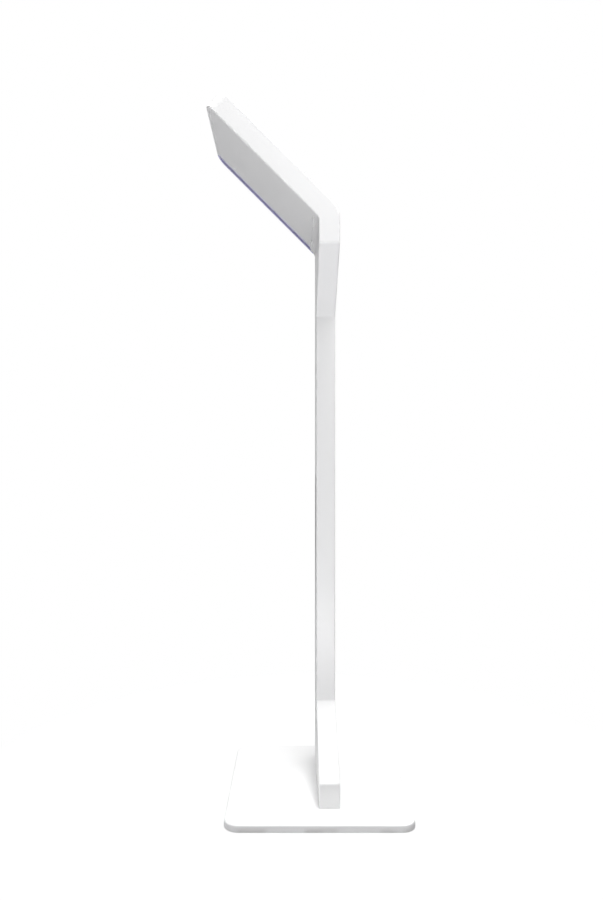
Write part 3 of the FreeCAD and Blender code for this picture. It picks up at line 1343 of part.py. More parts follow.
def lead_path():
    """Power lead from the supply along the foot, up the column and along the head: straight runs
    joined by tangent arcs. Returns the wire and the lead's length."""
    middle_y, rise = value(BOLT_Y), value(PLATE_TOP + " + lead_rise")
    column_x, turn, bend = value(COLUMN_MIDDLE), value("lead_turn"), value("lead_bend")
    tilt, depth = math.radians(value("tilt")), value("lead_depth")
    along = (middle_y + depth * math.sin(tilt)) / math.cos(tilt)
    up_slope = FreeCAD.Vector(0, math.cos(tilt), math.sin(tilt))
    out = FreeCAD.Vector(0, -math.sin(tilt), math.cos(tilt))
    corner = FreeCAD.Vector(column_x, 0, value(BEND_Z)).add(out * depth).add(up_slope * along)
    setback = bend * math.tan((math.pi / 2 - tilt) / 2)
    start = FreeCAD.Vector(value(SUPPLY_RIGHT), middle_y, rise)
    foot_in = FreeCAD.Vector(column_x - turn, middle_y, rise)
    foot_mid = FreeCAD.Vector(column_x - turn + turn * math.sin(math.pi / 4), middle_y,
                              rise + turn - turn * math.cos(math.pi / 4))
    foot_out = FreeCAD.Vector(column_x, middle_y, rise + turn)
    bend_in = corner.sub(FreeCAD.Vector(0, 0, setback))
    centre = bend_in.add(FreeCAD.Vector(0, bend, 0))
    sweep = (math.pi / 2 - tilt) / 2
    bend_mid = centre.add(FreeCAD.Vector(0, -bend * math.cos(sweep), bend * math.sin(sweep)))
    bend_out = corner.add(up_slope * setback)
    end = FreeCAD.Vector(column_x, 0, value(BEND_Z)).add(out * depth).add(up_slope * value(CONNECTOR_LOW))
    edges = [Part.LineSegment(start, foot_in).toShape(), Part.Arc(foot_in, foot_mid, foot_out).toShape(),
             Part.LineSegment(foot_out, bend_in).toShape(), Part.Arc(bend_in, bend_mid, bend_out).toShape(),
             Part.LineSegment(bend_out, end).toShape()]
    return Part.Wire(edges), sum(edge.Length for edge in edges)


def make_power_lead():
    """Round lead swept along its path; its volume is compared with section times length."""
    path, length = lead_path()
    start = path.Vertexes[0].Point
    ring = Part.Wire([Part.Circle(start, FreeCAD.Vector(1, 0, 0), value("lead_radius")).toShape()])
    lead = doc.addObject("Part::Feature", "power_lead")
    lead.Shape = path.makePipeShell([ring], True, False)
    expected = math.pi * value("lead_radius") ** 2 * length
    if abs(lead.Shape.Volume / expected - 1) > 0.01:
        raise RuntimeError("the power lead's volume is wrong")
    print("power lead: length %.0f, bend radii %.0f and %.0f" % (length, value("lead_turn"),
                                                                 value("lead_bend")))
    return lead


def make_lead_clips():
    """Clips that hold the lead to the spine's web."""
    clips = []
    web = "(-slab + wall + spine_thick)"
    for number in range(int(value("clip_count"))):
        step = "%d * (bend_height - clip_last - clip_first) / (clip_count - 1)" % number
        low = "%s + clip_first + %s" % (PLATE_TOP, step)
        body = brick("clip_block_%d" % number, COLUMN_MIDDLE + " - clip_wide / 2",
                     COLUMN_MIDDLE + " + clip_wide / 2",
                     web, BOLT_Y + " + lead_radius + clip_wall", low, low + " + clip_high")
        bore = rod("clip_bore_%d" % number, "lead_radius + fit", "clip_high", (COLUMN_MIDDLE, BOLT_Y, low))
        clips.append(less("clip_%d" % number, body, bore))
    return group("lead_clips", clips)


# ---------------------------------------------------------------- build and export

NODES = [
    ("base_plate", make_base_plate), ("base_mat", make_base_mat), ("base_bolts", make_base_bolts),
    ("foot_flange", make_foot_flange), ("cable_grommet", make_cable_grommet),
    ("body_shell", make_body_shell),
    ("spine", make_spine), ("rear_panel", make_rear_panel), ("panel_screws", make_panel_screws),
    ("gussets", make_gussets), ("head_bracket", make_head_bracket), ("touch_glass", make_touch_glass),
    ("glass_gasket", make_glass_gasket), ("display_tray", make_display_tray),
    ("display_panel", make_display_panel),
    ("tray_studs", make_tray_studs), ("tray_nuts", make_tray_nuts),
    ("board_standoffs", make_board_standoffs),
    ("main_board", make_main_board), ("board_screws", make_board_screws), ("heat_sink", make_heat_sink),
    ("power_connector", make_power_connector), ("speaker", make_speaker), ("button_ring", make_button_ring),
    ("power_button", make_power_button), ("service_cover", make_service_cover),
    ("fixed_hinges", make_fixed_hinges), ("cover_hinges", make_cover_hinges),
    ("hinge_pins", make_hinge_pins),
    ("cover_ledge", make_cover_ledge), ("cover_seal", make_cover_seal), ("cover_screw", make_cover_screw),
    ("screw_receiver", make_screw_receiver), ("lock_barrel", make_lock_barrel),
    ("lock_plug", make_lock_plug),
    ("lock_cam", make_lock_cam), ("cam_nut", make_cam_nut), ("lock_strike", make_lock_strike),
    ("light_strip", make_light_strip), ("light_board", make_light_board),
    ("power_supply", make_power_supply),
    ("supply_strap", make_supply_strap), ("power_lead", make_power_lead), ("lead_clips", make_lead_clips),
]


def label_piece(item, label):
    """Gives a finished sub-part its own name, freeing the name if a step of it holds it."""
    for other in doc.Objects:
        if other.Label == label and other is not item:
            other.Label = label + "_blank"
    item.Label = label
    return item


def check_document():
    """Stops on any object that failed to compute."""
    for item in doc.Objects:
        if "Invalid" in item.State or "Error" in item.State:
            raise RuntimeError("%s is %s" % (item.Name, item.State))


def export(pieces):
    """Checks each sub-part's shape and writes it."""
    os.makedirs("parts", exist_ok=True)
    for item in pieces:
        if item.Shape.isNull() or not item.Shape.isValid() or not item.Shape.Solids:
            raise RuntimeError(item.Label + " has no valid solid")
    for item in pieces:
        item.Shape.exportStep("parts/%s.step" % item.Label)


finished = []
for title, make in NODES:
    finished.append(label_piece(make(), title))
doc.recompute()
check_document()
export(finished)
print("%d sub-parts, %d solids" % (len(finished), sum(len(item.Shape.Solids) for item in finished)))
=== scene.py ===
"""Touchscreen kiosk: the looks of a museum visitors' floor stand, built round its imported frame.

Everything is in metres. Visitors stand on the -Y side and the head leans back to +Y. Pieces of the head
are worked out in its own axes: x across, y up the slope from the bend's inner corner, z out of the screen.
"""
import json
import math

import bpy
import numpy as np
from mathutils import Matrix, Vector


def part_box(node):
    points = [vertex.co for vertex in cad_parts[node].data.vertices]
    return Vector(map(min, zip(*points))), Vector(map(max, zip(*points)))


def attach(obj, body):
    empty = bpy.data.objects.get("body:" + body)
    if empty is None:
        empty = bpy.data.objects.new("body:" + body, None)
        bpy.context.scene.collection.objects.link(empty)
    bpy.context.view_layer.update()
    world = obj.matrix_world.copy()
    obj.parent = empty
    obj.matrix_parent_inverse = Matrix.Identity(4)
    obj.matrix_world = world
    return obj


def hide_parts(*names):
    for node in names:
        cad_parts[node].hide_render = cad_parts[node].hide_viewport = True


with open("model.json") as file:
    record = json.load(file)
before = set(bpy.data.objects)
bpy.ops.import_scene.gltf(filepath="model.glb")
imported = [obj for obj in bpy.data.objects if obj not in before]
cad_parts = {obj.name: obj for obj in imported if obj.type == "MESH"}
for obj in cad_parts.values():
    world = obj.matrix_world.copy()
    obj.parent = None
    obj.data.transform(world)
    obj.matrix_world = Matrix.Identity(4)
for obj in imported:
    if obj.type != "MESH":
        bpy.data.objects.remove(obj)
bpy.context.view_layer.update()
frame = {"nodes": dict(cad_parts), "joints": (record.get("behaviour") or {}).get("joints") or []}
parts = frame["nodes"]

# ------------------------------------------------------------------ the room
# A white studio: a pale floor that runs out into an even white surround, soft lamps above the stand and
# its front, and weak ones near the floor. Gloss mirrors an even grey room instead of the two lamps over the
# screen. The camera stands level beside the kiosk and looks across it.

SURROUND_LIGHT = 0.08
MIRRORED_LIGHT = 0.32
FLOOR_HALF = 30.0
CAMERA_PLACE = (-1.2626, 0.0445, 0.5956)
CAMERA_LENS = 26.92
CAMERA_SHIFT = (0.0094, 0.0219)

scene = bpy.context.scene
scene.view_settings.view_transform = "Standard"


def put(tree, kind, inputs=(), **settings):
    """Adds one shader node: settings are its own properties, inputs its sockets' values or links."""
    node = tree.nodes.new("ShaderNode" + kind)
    for name, amount in settings.items():
        setattr(node, name, amount)
    for key, amount in dict(inputs).items():
        if isinstance(amount, bpy.types.NodeSocket):
            tree.links.new(amount, node.inputs[key])
        else:
            node.inputs[key].default_value = amount
    return node


surround = bpy.data.worlds.new("surround")
surround.use_nodes = True
scene.world = surround
sky = surround.node_tree
sky.nodes.clear()
ray = put(sky, "LightPath").outputs
level = put(sky, "MapRange", {0: ray["Is Glossy Ray"], 3: SURROUND_LIGHT, 4: MIRRORED_LIGHT}).outputs[0]
lit = put(sky, "Background", {"Color": (1.0, 1.0, 1.0, 1.0), "Strength": level})
seen = put(sky, "Background", {"Color": (1.0, 1.0, 1.0, 1.0), "Strength": 1.0})
chosen = put(sky, "MixShader", {0: ray["Is Camera Ray"], 1: lit.outputs[0], 2: seen.outputs[0]})
put(sky, "OutputWorld", {"Surface": chosen.outputs[0]})

floor_mesh = bpy.data.meshes.new("studio_floor")
floor_corners = [(FLOOR_HALF * x, FLOOR_HALF * y, 0) for x, y in ((-1, -1), (1, -1), (1, 1), (-1, 1))]
floor_mesh.from_pydata(floor_corners, [], [(0, 1, 2, 3)])
studio_floor = bpy.data.objects.new("studio_floor", floor_mesh)
scene.collection.objects.link(studio_floor)
floor_paint = bpy.data.materials.new("floor_paint")
floor_paint.use_nodes = True
floor_mesh.materials.append(floor_paint)
tree = floor_paint.node_tree
direct = put(tree, "LightPath").outputs["Is Camera Ray"]
floor_place = put(tree, "TexCoord").outputs["Object"]
mottle = put(tree, "TexNoise", {"Vector": floor_place, "Scale": 3.0, "Detail": 4.0})
pale = put(tree, "MixRGB", {0: mottle.outputs[0], 1: (0.93, 0.93, 0.93, 1), 2: (0.96, 0.96, 0.96, 1)})
shade = put(tree, "MixRGB", {0: direct, 1: (0.44, 0.44, 0.45, 1.0), 2: pale.outputs[0]})
floor_shader = tree.nodes["Principled BSDF"]
tree.links.new(shade.outputs[0], floor_shader.inputs["Base Color"])
floor_shader.inputs["Roughness"].default_value = 0.8
from_stand = put(tree, "VectorMath", {0: floor_place}, operation="LENGTH").outputs["Value"]
fade = put(tree, "MapRange", {0: from_stand, 1: 0.2, 2: 0.7, 3: 0.6, 4: 1.0}).outputs[0]
bare = put(tree, "Math", {0: fade, 1: direct}, operation="MULTIPLY").outputs[0]
white = put(tree, "Emission", {"Color": (1.0, 1.0, 1.0, 1.0), "Strength": 1.0})
laid = put(tree, "MixShader", {0: bare, 1: floor_shader.outputs[0], 2: white.outputs[0]})
tree.links.new(laid.outputs[0], tree.nodes["Material Output"].inputs["Surface"])


def soft_lamp(name, place, aim, side, power, mirrored=True):
    """Square area lamp at place that looks at aim; mirrored says if gloss shows its reflection."""
    lamp = bpy.data.lights.new(name, "AREA")
    lamp.size = side
    lamp.energy = power
    holder = bpy.data.objects.new(name, lamp)
    holder.location = place
    holder.rotation_euler = (Vector(aim) - Vector(place)).to_track_quat("-Z", "Y").to_euler()
    holder.visible_camera = False
    holder.visible_glossy = mirrored
    scene.collection.objects.link(holder)


LAMP_AIM = (0.0, 0.0, 0.7)
soft_lamp("ceiling_lamp", (0.0, 0.0, 3.4), LAMP_AIM, 1.5, 142.0, mirrored=False)
soft_lamp("front_lamp", (-0.3, -2.2, 2.7), LAMP_AIM, 1.5, 6.0)
soft_lamp("head_lamp", (-0.95, -0.35, 1.75), (0.0, -0.1, 1.2), 0.6, 9.5, mirrored=False)
soft_lamp("floor_lamp", (-0.9, 0.0, 0.02), (-0.6, 0.0, 1.5), 0.8, 14.0)
soft_lamp("far_side_lamp", (2.0, -0.4, 1.3), (0.0, 0.0, 0.9), 1.5, 5.0)
soft_lamp("low_rear_lamp", (-0.5, 2.5, 0.35), LAMP_AIM, 1.2, 15.0)

camera = bpy.data.objects.new("camera", bpy.data.cameras.new("camera"))
camera.location = CAMERA_PLACE
camera.rotation_euler = (math.radians(90), 0.0, math.radians(-90))
camera.data.lens = CAMERA_LENS
camera.data.shift_x, camera.data.shift_y = CAMERA_SHIFT
scene.collection.objects.link(camera)
scene.camera = camera

# ------------------------------------------------------------------ stand shell, base plate and rear panel
# Folded 2 mm sheet and a 12 mm plate, powder coated white and baked: a satin skin with a very fine
# orange peel, slow changes of tone, hand smudges, and dull rub marks low down where shoes touch.

SHELL_WHITE = (0.865, 0.865, 0.866, 1.0)
SHELL_TINT = (0.853, 0.853, 0.856, 1.0)
RUB_GREY = (0.62, 0.61, 0.60, 1.0)


def open_group(name, takes, gives):
    """Starts a shared shader group: takes lists its inputs as label, kind and value, gives its outputs."""
    group = bpy.data.node_groups.new(name, "ShaderNodeTree")
    for label, kind, amount in takes:
        socket = group.interface.new_socket(label, in_out="INPUT", socket_type="NodeSocket" + kind)
        if amount is not None:
            socket.default_value = amount
    for label, kind in gives:
        group.interface.new_socket(label, in_out="OUTPUT", socket_type="NodeSocket" + kind)
    return group, group.nodes.new("NodeGroupInput").outputs, group.nodes.new("NodeGroupOutput").inputs


def sweep(tree, amount, low, high, to_low, to_high):
    """Maps low to high onto to_low to to_high and holds the ends."""
    return put(tree, "MapRange", {0: amount, 1: low, 2: high, 3: to_low, 4: to_high}).outputs[0]


def sum_of(tree, kind, first, second):
    """One arithmetic step on two numbers or sockets."""
    return put(tree, "Math", {0: first, 1: second}, operation=kind).outputs[0]


def blend(tree, share, first, second):
    """Mixes two colours by share."""
    return put(tree, "MixRGB", {0: share, 1: first, 2: second}).outputs[0]


SKIN_GIVES = (("Color", "Color"), ("Roughness", "Float"), ("Height", "Float"))

coat_skin, inside, outside = open_group("coat_skin", (
    ("Position", "Vector", None), ("Paint", "Color", SHELL_WHITE), ("Tint", "Color", SHELL_TINT),
    ("Rub", "Float", 0.0), ("Rub Color", "Color", RUB_GREY), ("Peel Scale", "Float", 900.0),
    ("Gloss Low", "Float", 0.31), ("Gloss High", "Float", 0.37)), SKIN_GIVES)
spot = inside["Position"]
peel = put(coat_skin, "TexNoise", {"Vector": spot, "Scale": inside["Peel Scale"], "Detail": 2.0})
cloud = put(coat_skin, "TexNoise", {"Vector": spot, "Scale": 6.0, "Detail": 3.0})
smudge = put(coat_skin, "TexNoise", {"Vector": spot, "Scale": 16.0, "Detail": 2.0})
nib = put(coat_skin, "TexVoronoi", {"Vector": spot, "Scale": 150.0})
nibs = sweep(coat_skin, nib.outputs["Distance"], 0.02, 0.09, 1.0, 0.0)
tone = sweep(coat_skin, cloud.outputs[0], 0.35, 0.65, 0.0, 1.0)
worn = sweep(coat_skin, smudge.outputs[0], 0.5, 0.62, 0.0, 1.0)
scraped = sum_of(coat_skin, "MULTIPLY", inside["Rub"], worn)
painted = blend(coat_skin, tone, inside["Paint"], inside["Tint"])
coat_skin.links.new(blend(coat_skin, scraped, painted, inside["Rub Color"]), outside["Color"])
gloss = sweep(coat_skin, smudge.outputs[0], 0.3, 0.7, inside["Gloss Low"], inside["Gloss High"])
scuffed = sum_of(coat_skin, "MULTIPLY", scraped, 0.6)
coat_skin.links.new(sum_of(coat_skin, "MAXIMUM", gloss, scuffed), outside["Roughness"])
lumps = sum_of(coat_skin, "MULTIPLY", nibs, 0.15)
coat_skin.links.new(sum_of(coat_skin, "ADD", peel.outputs[0], lumps), outside["Height"])


def finish(name, group, mixed, bump, turn=(0.0, 0.0, 0.0), fixed=()):
    """Material in which the group's colour, roughness and height feed a Principled shader. Mixed holds the
    group's own inputs, bump the height of the relief in metres, turn the turn of the pattern, and fixed
    the plain values of the shader's sockets."""
    material = bpy.data.materials.new(name)
    material.use_nodes = True
    tree = material.node_tree
    shader = tree.nodes["Principled BSDF"]
    place = put(tree, "Mapping", {"Vector": put(tree, "TexCoord").outputs["Object"], "Rotation": turn})
    skin = put(tree, "Group", {"Position": place.outputs["Vector"], **mixed}, node_tree=group, name="skin")
    relief = put(tree, "Bump", {"Height": skin.outputs["Height"], "Distance": bump, "Strength": 1.0})
    tree.links.new(skin.outputs["Color"], shader.inputs["Base Color"])
    tree.links.new(skin.outputs["Roughness"], shader.inputs["Roughness"])
    tree.links.new(relief.outputs["Normal"], shader.inputs["Normal"])
    for key, amount in dict(fixed).items():
        shader.inputs[key].default_value = amount
    return material


def dress(material, *names):
    """Gives the named CAD nodes the material."""
    for name in names:
        for slot in parts[name].material_slots:
            slot.material = material


white_coat = finish("white_coat", coat_skin, {}, 0.000012,
                    fixed={"Coat Weight": 0.12, "Coat Roughness": 0.12})
dress(white_coat, "body_shell", "rear_panel", "service_cover", "fixed_hinges", "cover_hinges", "hinge_pins",
      "cover_screw")

RUB_START, RUB_FULL, RUB_SHARE = 0.004, 0.010, 0.7
plate_coat = finish("plate_coat", coat_skin, {
    "Paint": (0.89, 0.89, 0.891, 1.0), "Tint": (0.878, 0.878, 0.88, 1.0), "Peel Scale": 700.0},
    0.000018, fixed={"Coat Weight": 0.08})
tree = plate_coat.node_tree
height = put(tree, "SeparateXYZ", {0: put(tree, "TexCoord").outputs["Object"]}).outputs["Z"]
plate_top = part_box("base_plate")[1][2]
low_down = sweep(tree, height, plate_top - RUB_START, plate_top - RUB_FULL, 0.0, RUB_SHARE)
tree.links.new(low_down, tree.nodes["skin"].inputs["Rub"])
dress(plate_coat, "base_plate")

# ------------------------------------------------------------------ sheet steel, screws and hard metal
# Brackets, spine and display tray are galvanised sheet; bolts, nuts, studs, strike and the lock's cam are
# bright zinc; the button's ring and the lock are polished chrome; standoffs are turned brass.

metal_skin, inside, outside = open_group("metal_skin", (
    ("Position", "Vector", None), ("Metal", "Color", (0.6, 0.6, 0.6, 1.0)),
    ("Dark", "Color", (0.4, 0.4, 0.4, 1.0)), ("Grain", "Vector", (300.0, 300.0, 300.0)),
    ("Spangle Scale", "Float", 90.0), ("Spangle", "Float", 0.3), ("Gloss Low", "Float", 0.2),
    ("Gloss High", "Float", 0.45)), SKIN_GIVES)
spot = inside["Position"]
drawn = put(metal_skin, "VectorMath", {0: spot, 1: inside["Grain"]}, operation="MULTIPLY").outputs[0]
grain = put(metal_skin, "TexNoise", {"Vector": drawn, "Scale": 1.0, "Detail": 5.0, "Roughness": 0.65})
grain = grain.outputs[0]
flake = put(metal_skin, "TexVoronoi", {"Vector": spot, "Scale": inside["Spangle Scale"]}).outputs["Color"]
flake = put(metal_skin, "SeparateColor", {0: flake}).outputs[0]
stain = put(metal_skin, "TexNoise", {"Vector": spot, "Scale": 22.0, "Detail": 4.0}).outputs[0]
bright = sum_of(metal_skin, "ADD", sum_of(metal_skin, "MULTIPLY", flake, inside["Spangle"]),
                sweep(metal_skin, grain, 0.3, 0.7, 0.1, 0.6))
bright = sum_of(metal_skin, "MULTIPLY", bright, sweep(metal_skin, stain, 0.3, 0.5, 0.75, 1.0))
metal_skin.links.new(blend(metal_skin, bright, inside["Dark"], inside["Metal"]), outside["Color"])
shine = sum_of(metal_skin, "MULTIPLY", bright, 1.2)
polish = sweep(metal_skin, shine, 0.2, 1.0, inside["Gloss High"], inside["Gloss Low"])
metal_skin.links.new(polish, outside["Roughness"])
metal_skin.links.new(grain, outside["Height"])


def bare_metal(name, light, dark, grain, spangle, gloss, bump, spangle_scale=90.0, metallic=1.0):
    """Finish of two colours: grain is its streaks per metre along each axis, spangle the strength of its
    flakes, gloss its lowest and highest roughness, and bump the relief in metres."""
    return finish(name, metal_skin, {
        "Metal": (*light, 1.0), "Dark": (*dark, 1.0), "Grain": grain, "Spangle Scale": spangle_scale,
        "Spangle": spangle, "Gloss Low": gloss[0], "Gloss High": gloss[1]}, bump,
        fixed={"Metallic": metallic})


galvanised = bare_metal("galvanised", (0.66, 0.68, 0.70), (0.40, 0.42, 0.44), (260.0, 260.0, 260.0), 0.5,
                        (0.30, 0.52), 0.00002, spangle_scale=110.0)
bright_zinc = bare_metal("bright_zinc", (0.78, 0.80, 0.83), (0.50, 0.51, 0.53), (2500.0, 400.0, 400.0), 0.1,
                         (0.18, 0.36), 0.000006)
chrome = bare_metal("chrome", (0.86, 0.87, 0.89), (0.72, 0.73, 0.76), (120.0, 1800.0, 1800.0), 0.05,
                    (0.05, 0.16), 0.000002)
turned_brass = bare_metal("turned_brass", (0.83, 0.65, 0.32), (0.55, 0.40, 0.18), (300.0, 3000.0, 3000.0),
                          0.1, (0.18, 0.35), 0.000004)
fin_metal = bare_metal("fin_metal", (0.74, 0.75, 0.77), (0.55, 0.56, 0.58), (2200.0, 90.0, 90.0), 0.05,
                       (0.25, 0.42), 0.00001)
dress(galvanised, "foot_flange", "spine", "gussets", "head_bracket", "display_tray", "cover_ledge",
      "supply_strap")
dress(bright_zinc, "base_bolts", "tray_studs", "tray_nuts", "board_screws", "lock_cam", "cam_nut",
      "lock_strike")
dress(chrome, "button_ring", "lock_barrel", "lock_plug")
dress(turned_brass, "board_standoffs")
dress(fin_metal, "heat_sink")

# ------------------------------------------------------------------ rubber, foam and moulded plastic
# The floor mat and grommet are moulded rubber, gaskets closed cell foam, housings spark-textured black
# plastic, the lead's jacket smooth soft vinyl.

moulded_skin, inside, outside = open_group("moulded_skin", (
    ("Position", "Vector", None), ("Body", "Color", (0.05, 0.05, 0.05, 1.0)),
    ("Bloom", "Color", (0.1, 0.1, 0.1, 1.0)), ("Grain Scale", "Float", 1500.0), ("Gloss Low", "Float", 0.4),
    ("Gloss High", "Float", 0.6)), SKIN_GIVES)
spot = inside["Position"]
spark = put(moulded_skin, "TexVoronoi", {"Vector": spot, "Scale": inside["Grain Scale"]}).outputs["Distance"]
haze = put(moulded_skin, "TexNoise", {"Vector": spot, "Scale": 45.0, "Detail": 5.0}).outputs[0]
bloomed = sweep(moulded_skin, haze, 0.45, 0.8, 0.0, 0.6)
moulded_skin.links.new(blend(moulded_skin, bloomed, inside["Body"], inside["Bloom"]), outside["Color"])
dull = sweep(moulded_skin, haze, 0.3, 0.7, inside["Gloss Low"], inside["Gloss High"])
moulded_skin.links.new(dull, outside["Roughness"])
moulded_skin.links.new(spark, outside["Height"])


def moulding(name, body, bloom, grain, gloss, bump, fixed=()):
    """Finish of rubber or plastic: its colour and bloom, its texture's grains per metre, its lowest and
    highest roughness, and the relief in metres."""
    return finish(name, moulded_skin, {
        "Body": (*body, 1.0), "Bloom": (*bloom, 1.0), "Grain Scale": grain, "Gloss Low": gloss[0],
        "Gloss High": gloss[1]}, bump, fixed=fixed)


GREY_BLOOM = (0.1, 0.1, 0.1)
mat_rubber = moulding("mat_rubber", (0.035, 0.035, 0.038), (0.09, 0.09, 0.09), 400.0, (0.7, 0.9), 0.0002)
grommet_rubber = moulding("grommet_rubber", (0.02, 0.02, 0.022), GREY_BLOOM, 2000.0, (0.45, 0.65), 0.00002)
gasket_foam = moulding("gasket_foam", (0.03, 0.03, 0.033), (0.07, 0.07, 0.07), 1100.0, (0.85, 0.98), 0.0001)
black_moulding = moulding("black_moulding", (0.022, 0.022, 0.025), (0.05, 0.05, 0.053), 2600.0, (0.4, 0.6),
                          0.00002)
lead_vinyl = moulding("lead_vinyl", (0.018, 0.018, 0.02), GREY_BLOOM, 900.0, (0.3, 0.42), 0.000008)
dress(mat_rubber, "base_mat")
dress(grommet_rubber, "cable_grommet")
dress(gasket_foam, "glass_gasket", "cover_seal")
dress(black_moulding, "power_connector", "speaker", "screw_receiver", "power_supply", "lead_clips")
dress(lead_vinyl, "power_lead")

# ------------------------------------------------------------------ rear panel screws
# Ten countersunk screws, white like the panel, with hexagon sockets. Each is turned on a lathe: a thin
# rim, a slightly domed face and a six-sided pit.

SCREW_STEPS = 36
SHARP_EDGE = math.radians(35)


def lathe(profile, steps=SCREW_STEPS):
    """Rows of points round the z axis, one row per (radius, height) of the profile, that run
    counterclockwise; a profile that climbs outside and returns inside keeps its faces outwards."""
    turn = np.linspace(0.0, 2.0 * np.pi, steps, endpoint=False)
    radius, height = np.asarray(profile, dtype=float).T
    return np.stack([radius[:, None] * np.cos(turn), radius[:, None] * np.sin(turn),
                     np.repeat(height[:, None], steps, axis=1)], axis=-1)


def skin_of(grid, across=True, along=False, start=False, end=False, paint=0):
    """Points, faces and paint number of a grid of rows. Across closes each row on itself, along joins the
    last row to the first, start and end fill the outer rows with one face each."""
    rows, columns = grid.shape[:2]
    index = np.arange(rows * columns).reshape(rows, columns)
    wide = np.concatenate([index, index[:, :1]], axis=1) if across else index
    wide = np.concatenate([wide, wide[:1]], axis=0) if along else wide
    quads = np.stack([wide[:-1, :-1], wide[:-1, 1:], wide[1:, 1:], wide[1:, :-1]], axis=-1)
    faces = quads.reshape(-1, 4).tolist()
    if start:
        faces.append(index[0, ::-1].tolist())
    if end:
        faces.append(index[-1].tolist())
    return grid.reshape(-1, 3), faces, paint


def make_piece(name, skins, materials, body):
    """One object from several skins, smooth but for its sharp edges; it rides on body and takes the given
    materials."""
    counts = np.cumsum([0] + [len(points) for points, faces, paint in skins])
    points = np.concatenate([points for points, faces, paint in skins])
    faces = [[corner + start for corner in face]
             for (_, some, _), start in zip(skins, counts.tolist()) for face in some]
    mesh = bpy.data.meshes.new(name)
    mesh.from_pydata(points.tolist(), [], faces)
    mesh.polygons.foreach_set("material_index", [paint for _, some, paint in skins for _ in some])
    for material in materials:
        mesh.materials.append(material)
    mesh.set_sharp_from_angle(angle=SHARP_EDGE)
    piece = bpy.data.objects.new(name, mesh)
    scene.collection.objects.link(piece)
    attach(piece, body)
    return piece


def corners_of(node):
    """All vertices of a CAD node as an array."""
    mesh = parts[node].data
    flat = np.empty(len(mesh.vertices) * 3)
    mesh.vertices.foreach_get("co", flat)
    return flat.reshape(-1, 3)


screw_low, screw_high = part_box("panel_screws")
SCREW_HEAD = 0.0038
SCREW_X = (screw_low[0] + SCREW_HEAD, screw_high[0] - SCREW_HEAD)
SCREW_Z = np.linspace(screw_low[2] + SCREW_HEAD, screw_high[2] - SCREW_HEAD, 5)
turn = np.linspace(0.0, 2.0 * np.pi, SCREW_STEPS, endpoint=False)
hexagon = math.cos(math.pi / 6) / np.cos((turn + math.pi / 6) % (math.pi / 3) - math.pi / 6)
screw_rows = lathe([
    (0.0018, -0.0060), (0.0020, -0.0057), (0.0020, -0.0018), (0.0036, -0.0003), (0.0038, -0.00015),
    (0.00375, 0.0), (0.0033, 0.00008), (0.0014, 0.00012), (0.00125, 0.0), (0.00122, -0.0011),
    (0.0003, -0.0013)])
SOCKET_ROWS = slice(7, 10)
screw_rows[SOCKET_ROWS, :, :2] *= hexagon[:, None]
screw_rows[..., 2] = np.minimum(screw_rows[..., 2], 0.0)
upright = np.array([(1.0, 0.0, 0.0), (0.0, 0.0, -1.0), (0.0, 1.0, 0.0)])
screw_skins = [skin_of(screw_rows @ upright + (x, 0.0, z), start=True, end=True)
               for x in SCREW_X for z in SCREW_Z]
panel_screw_set = make_piece("panel_screw_set", screw_skins, [white_coat], "stand")
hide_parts("panel_screws")

# ------------------------------------------------------------------ touch screen
# Strengthened glass bonded to the display: a pane with ground edges, a black border printed behind it and
# a lit start page of plain shapes. Fingers leave it a little smeared.

hinge_line = np.array(next(joint["pos_m"] for joint in frame["joints"] if joint["name"] == "cover_hinge"))
BEND = np.array([0.0, 0.0, hinge_line[2] - hinge_line[1]])
SLOPE = math.radians(45)
HEAD_AXES = np.array([
    (1.0, 0.0, 0.0), (0.0, math.cos(SLOPE), math.sin(SLOPE)), (0.0, -math.sin(SLOPE), math.cos(SLOPE))])


def in_head(points):
    """Points of the head's own axes in the room."""
    return np.asarray(points) @ HEAD_AXES + BEND


def head_box(node):
    """Lowest and highest corners of a CAD node in the head's own axes."""
    own = (corners_of(node) - BEND) @ HEAD_AXES.T
    return own.min(axis=0), own.max(axis=0)


def ring(low, high, corner, steps=4):
    """Counterclockwise outline of a rectangle whose corners are quarter circles."""
    quarter = np.arange(4)[:, None] * np.pi / 2 + np.linspace(0.0, np.pi / 2, steps + 1)
    x = np.array([high[0] - corner, low[0] + corner, low[0] + corner, high[0] - corner])[:, None]
    y = np.array([high[1] - corner, high[1] - corner, low[1] + corner, low[1] + corner])[:, None]
    return np.stack([x + corner * np.cos(quarter), y + corner * np.sin(quarter)], axis=-1).reshape(-1, 2)


def block(low, high, corner, edge, paint=0, steps=3, facets=4):
    """Rounded block from low to high: outlines stacked along z and drawn in at both ends on a quarter
    circle of the edge's radius."""
    low, high = np.asarray(low, dtype=float), np.asarray(high, dtype=float)
    bow = np.linspace(0.0, np.pi / 2, steps + 1)
    draw = edge * (1.0 - np.sin(bow))
    climb = edge * (1.0 - np.cos(bow))
    heights = np.concatenate([low[2] + climb, high[2] - climb[::-1]])
    draws = np.concatenate([draw, draw[::-1]])
    level_of = np.ones(4 * facets + 4)
    rows = [np.column_stack([ring(low + inset, high - inset, corner - inset, facets), level_of * level])
            for inset, level in zip(draws, heights)]
    return skin_of(np.stack(rows), start=True, end=True, paint=paint)


def head_piece(name, skins, materials, body):
    """A piece whose skins are worked out in the head's own axes."""
    placed = [(in_head(points), faces, paint) for points, faces, paint in skins]
    return make_piece(name, placed, materials, body)


LIT_BORDER = 0.013
glass_low, glass_high = head_box("touch_glass")
pane_skin = block(glass_low, glass_high, 0.009, 0.0006, facets=10)

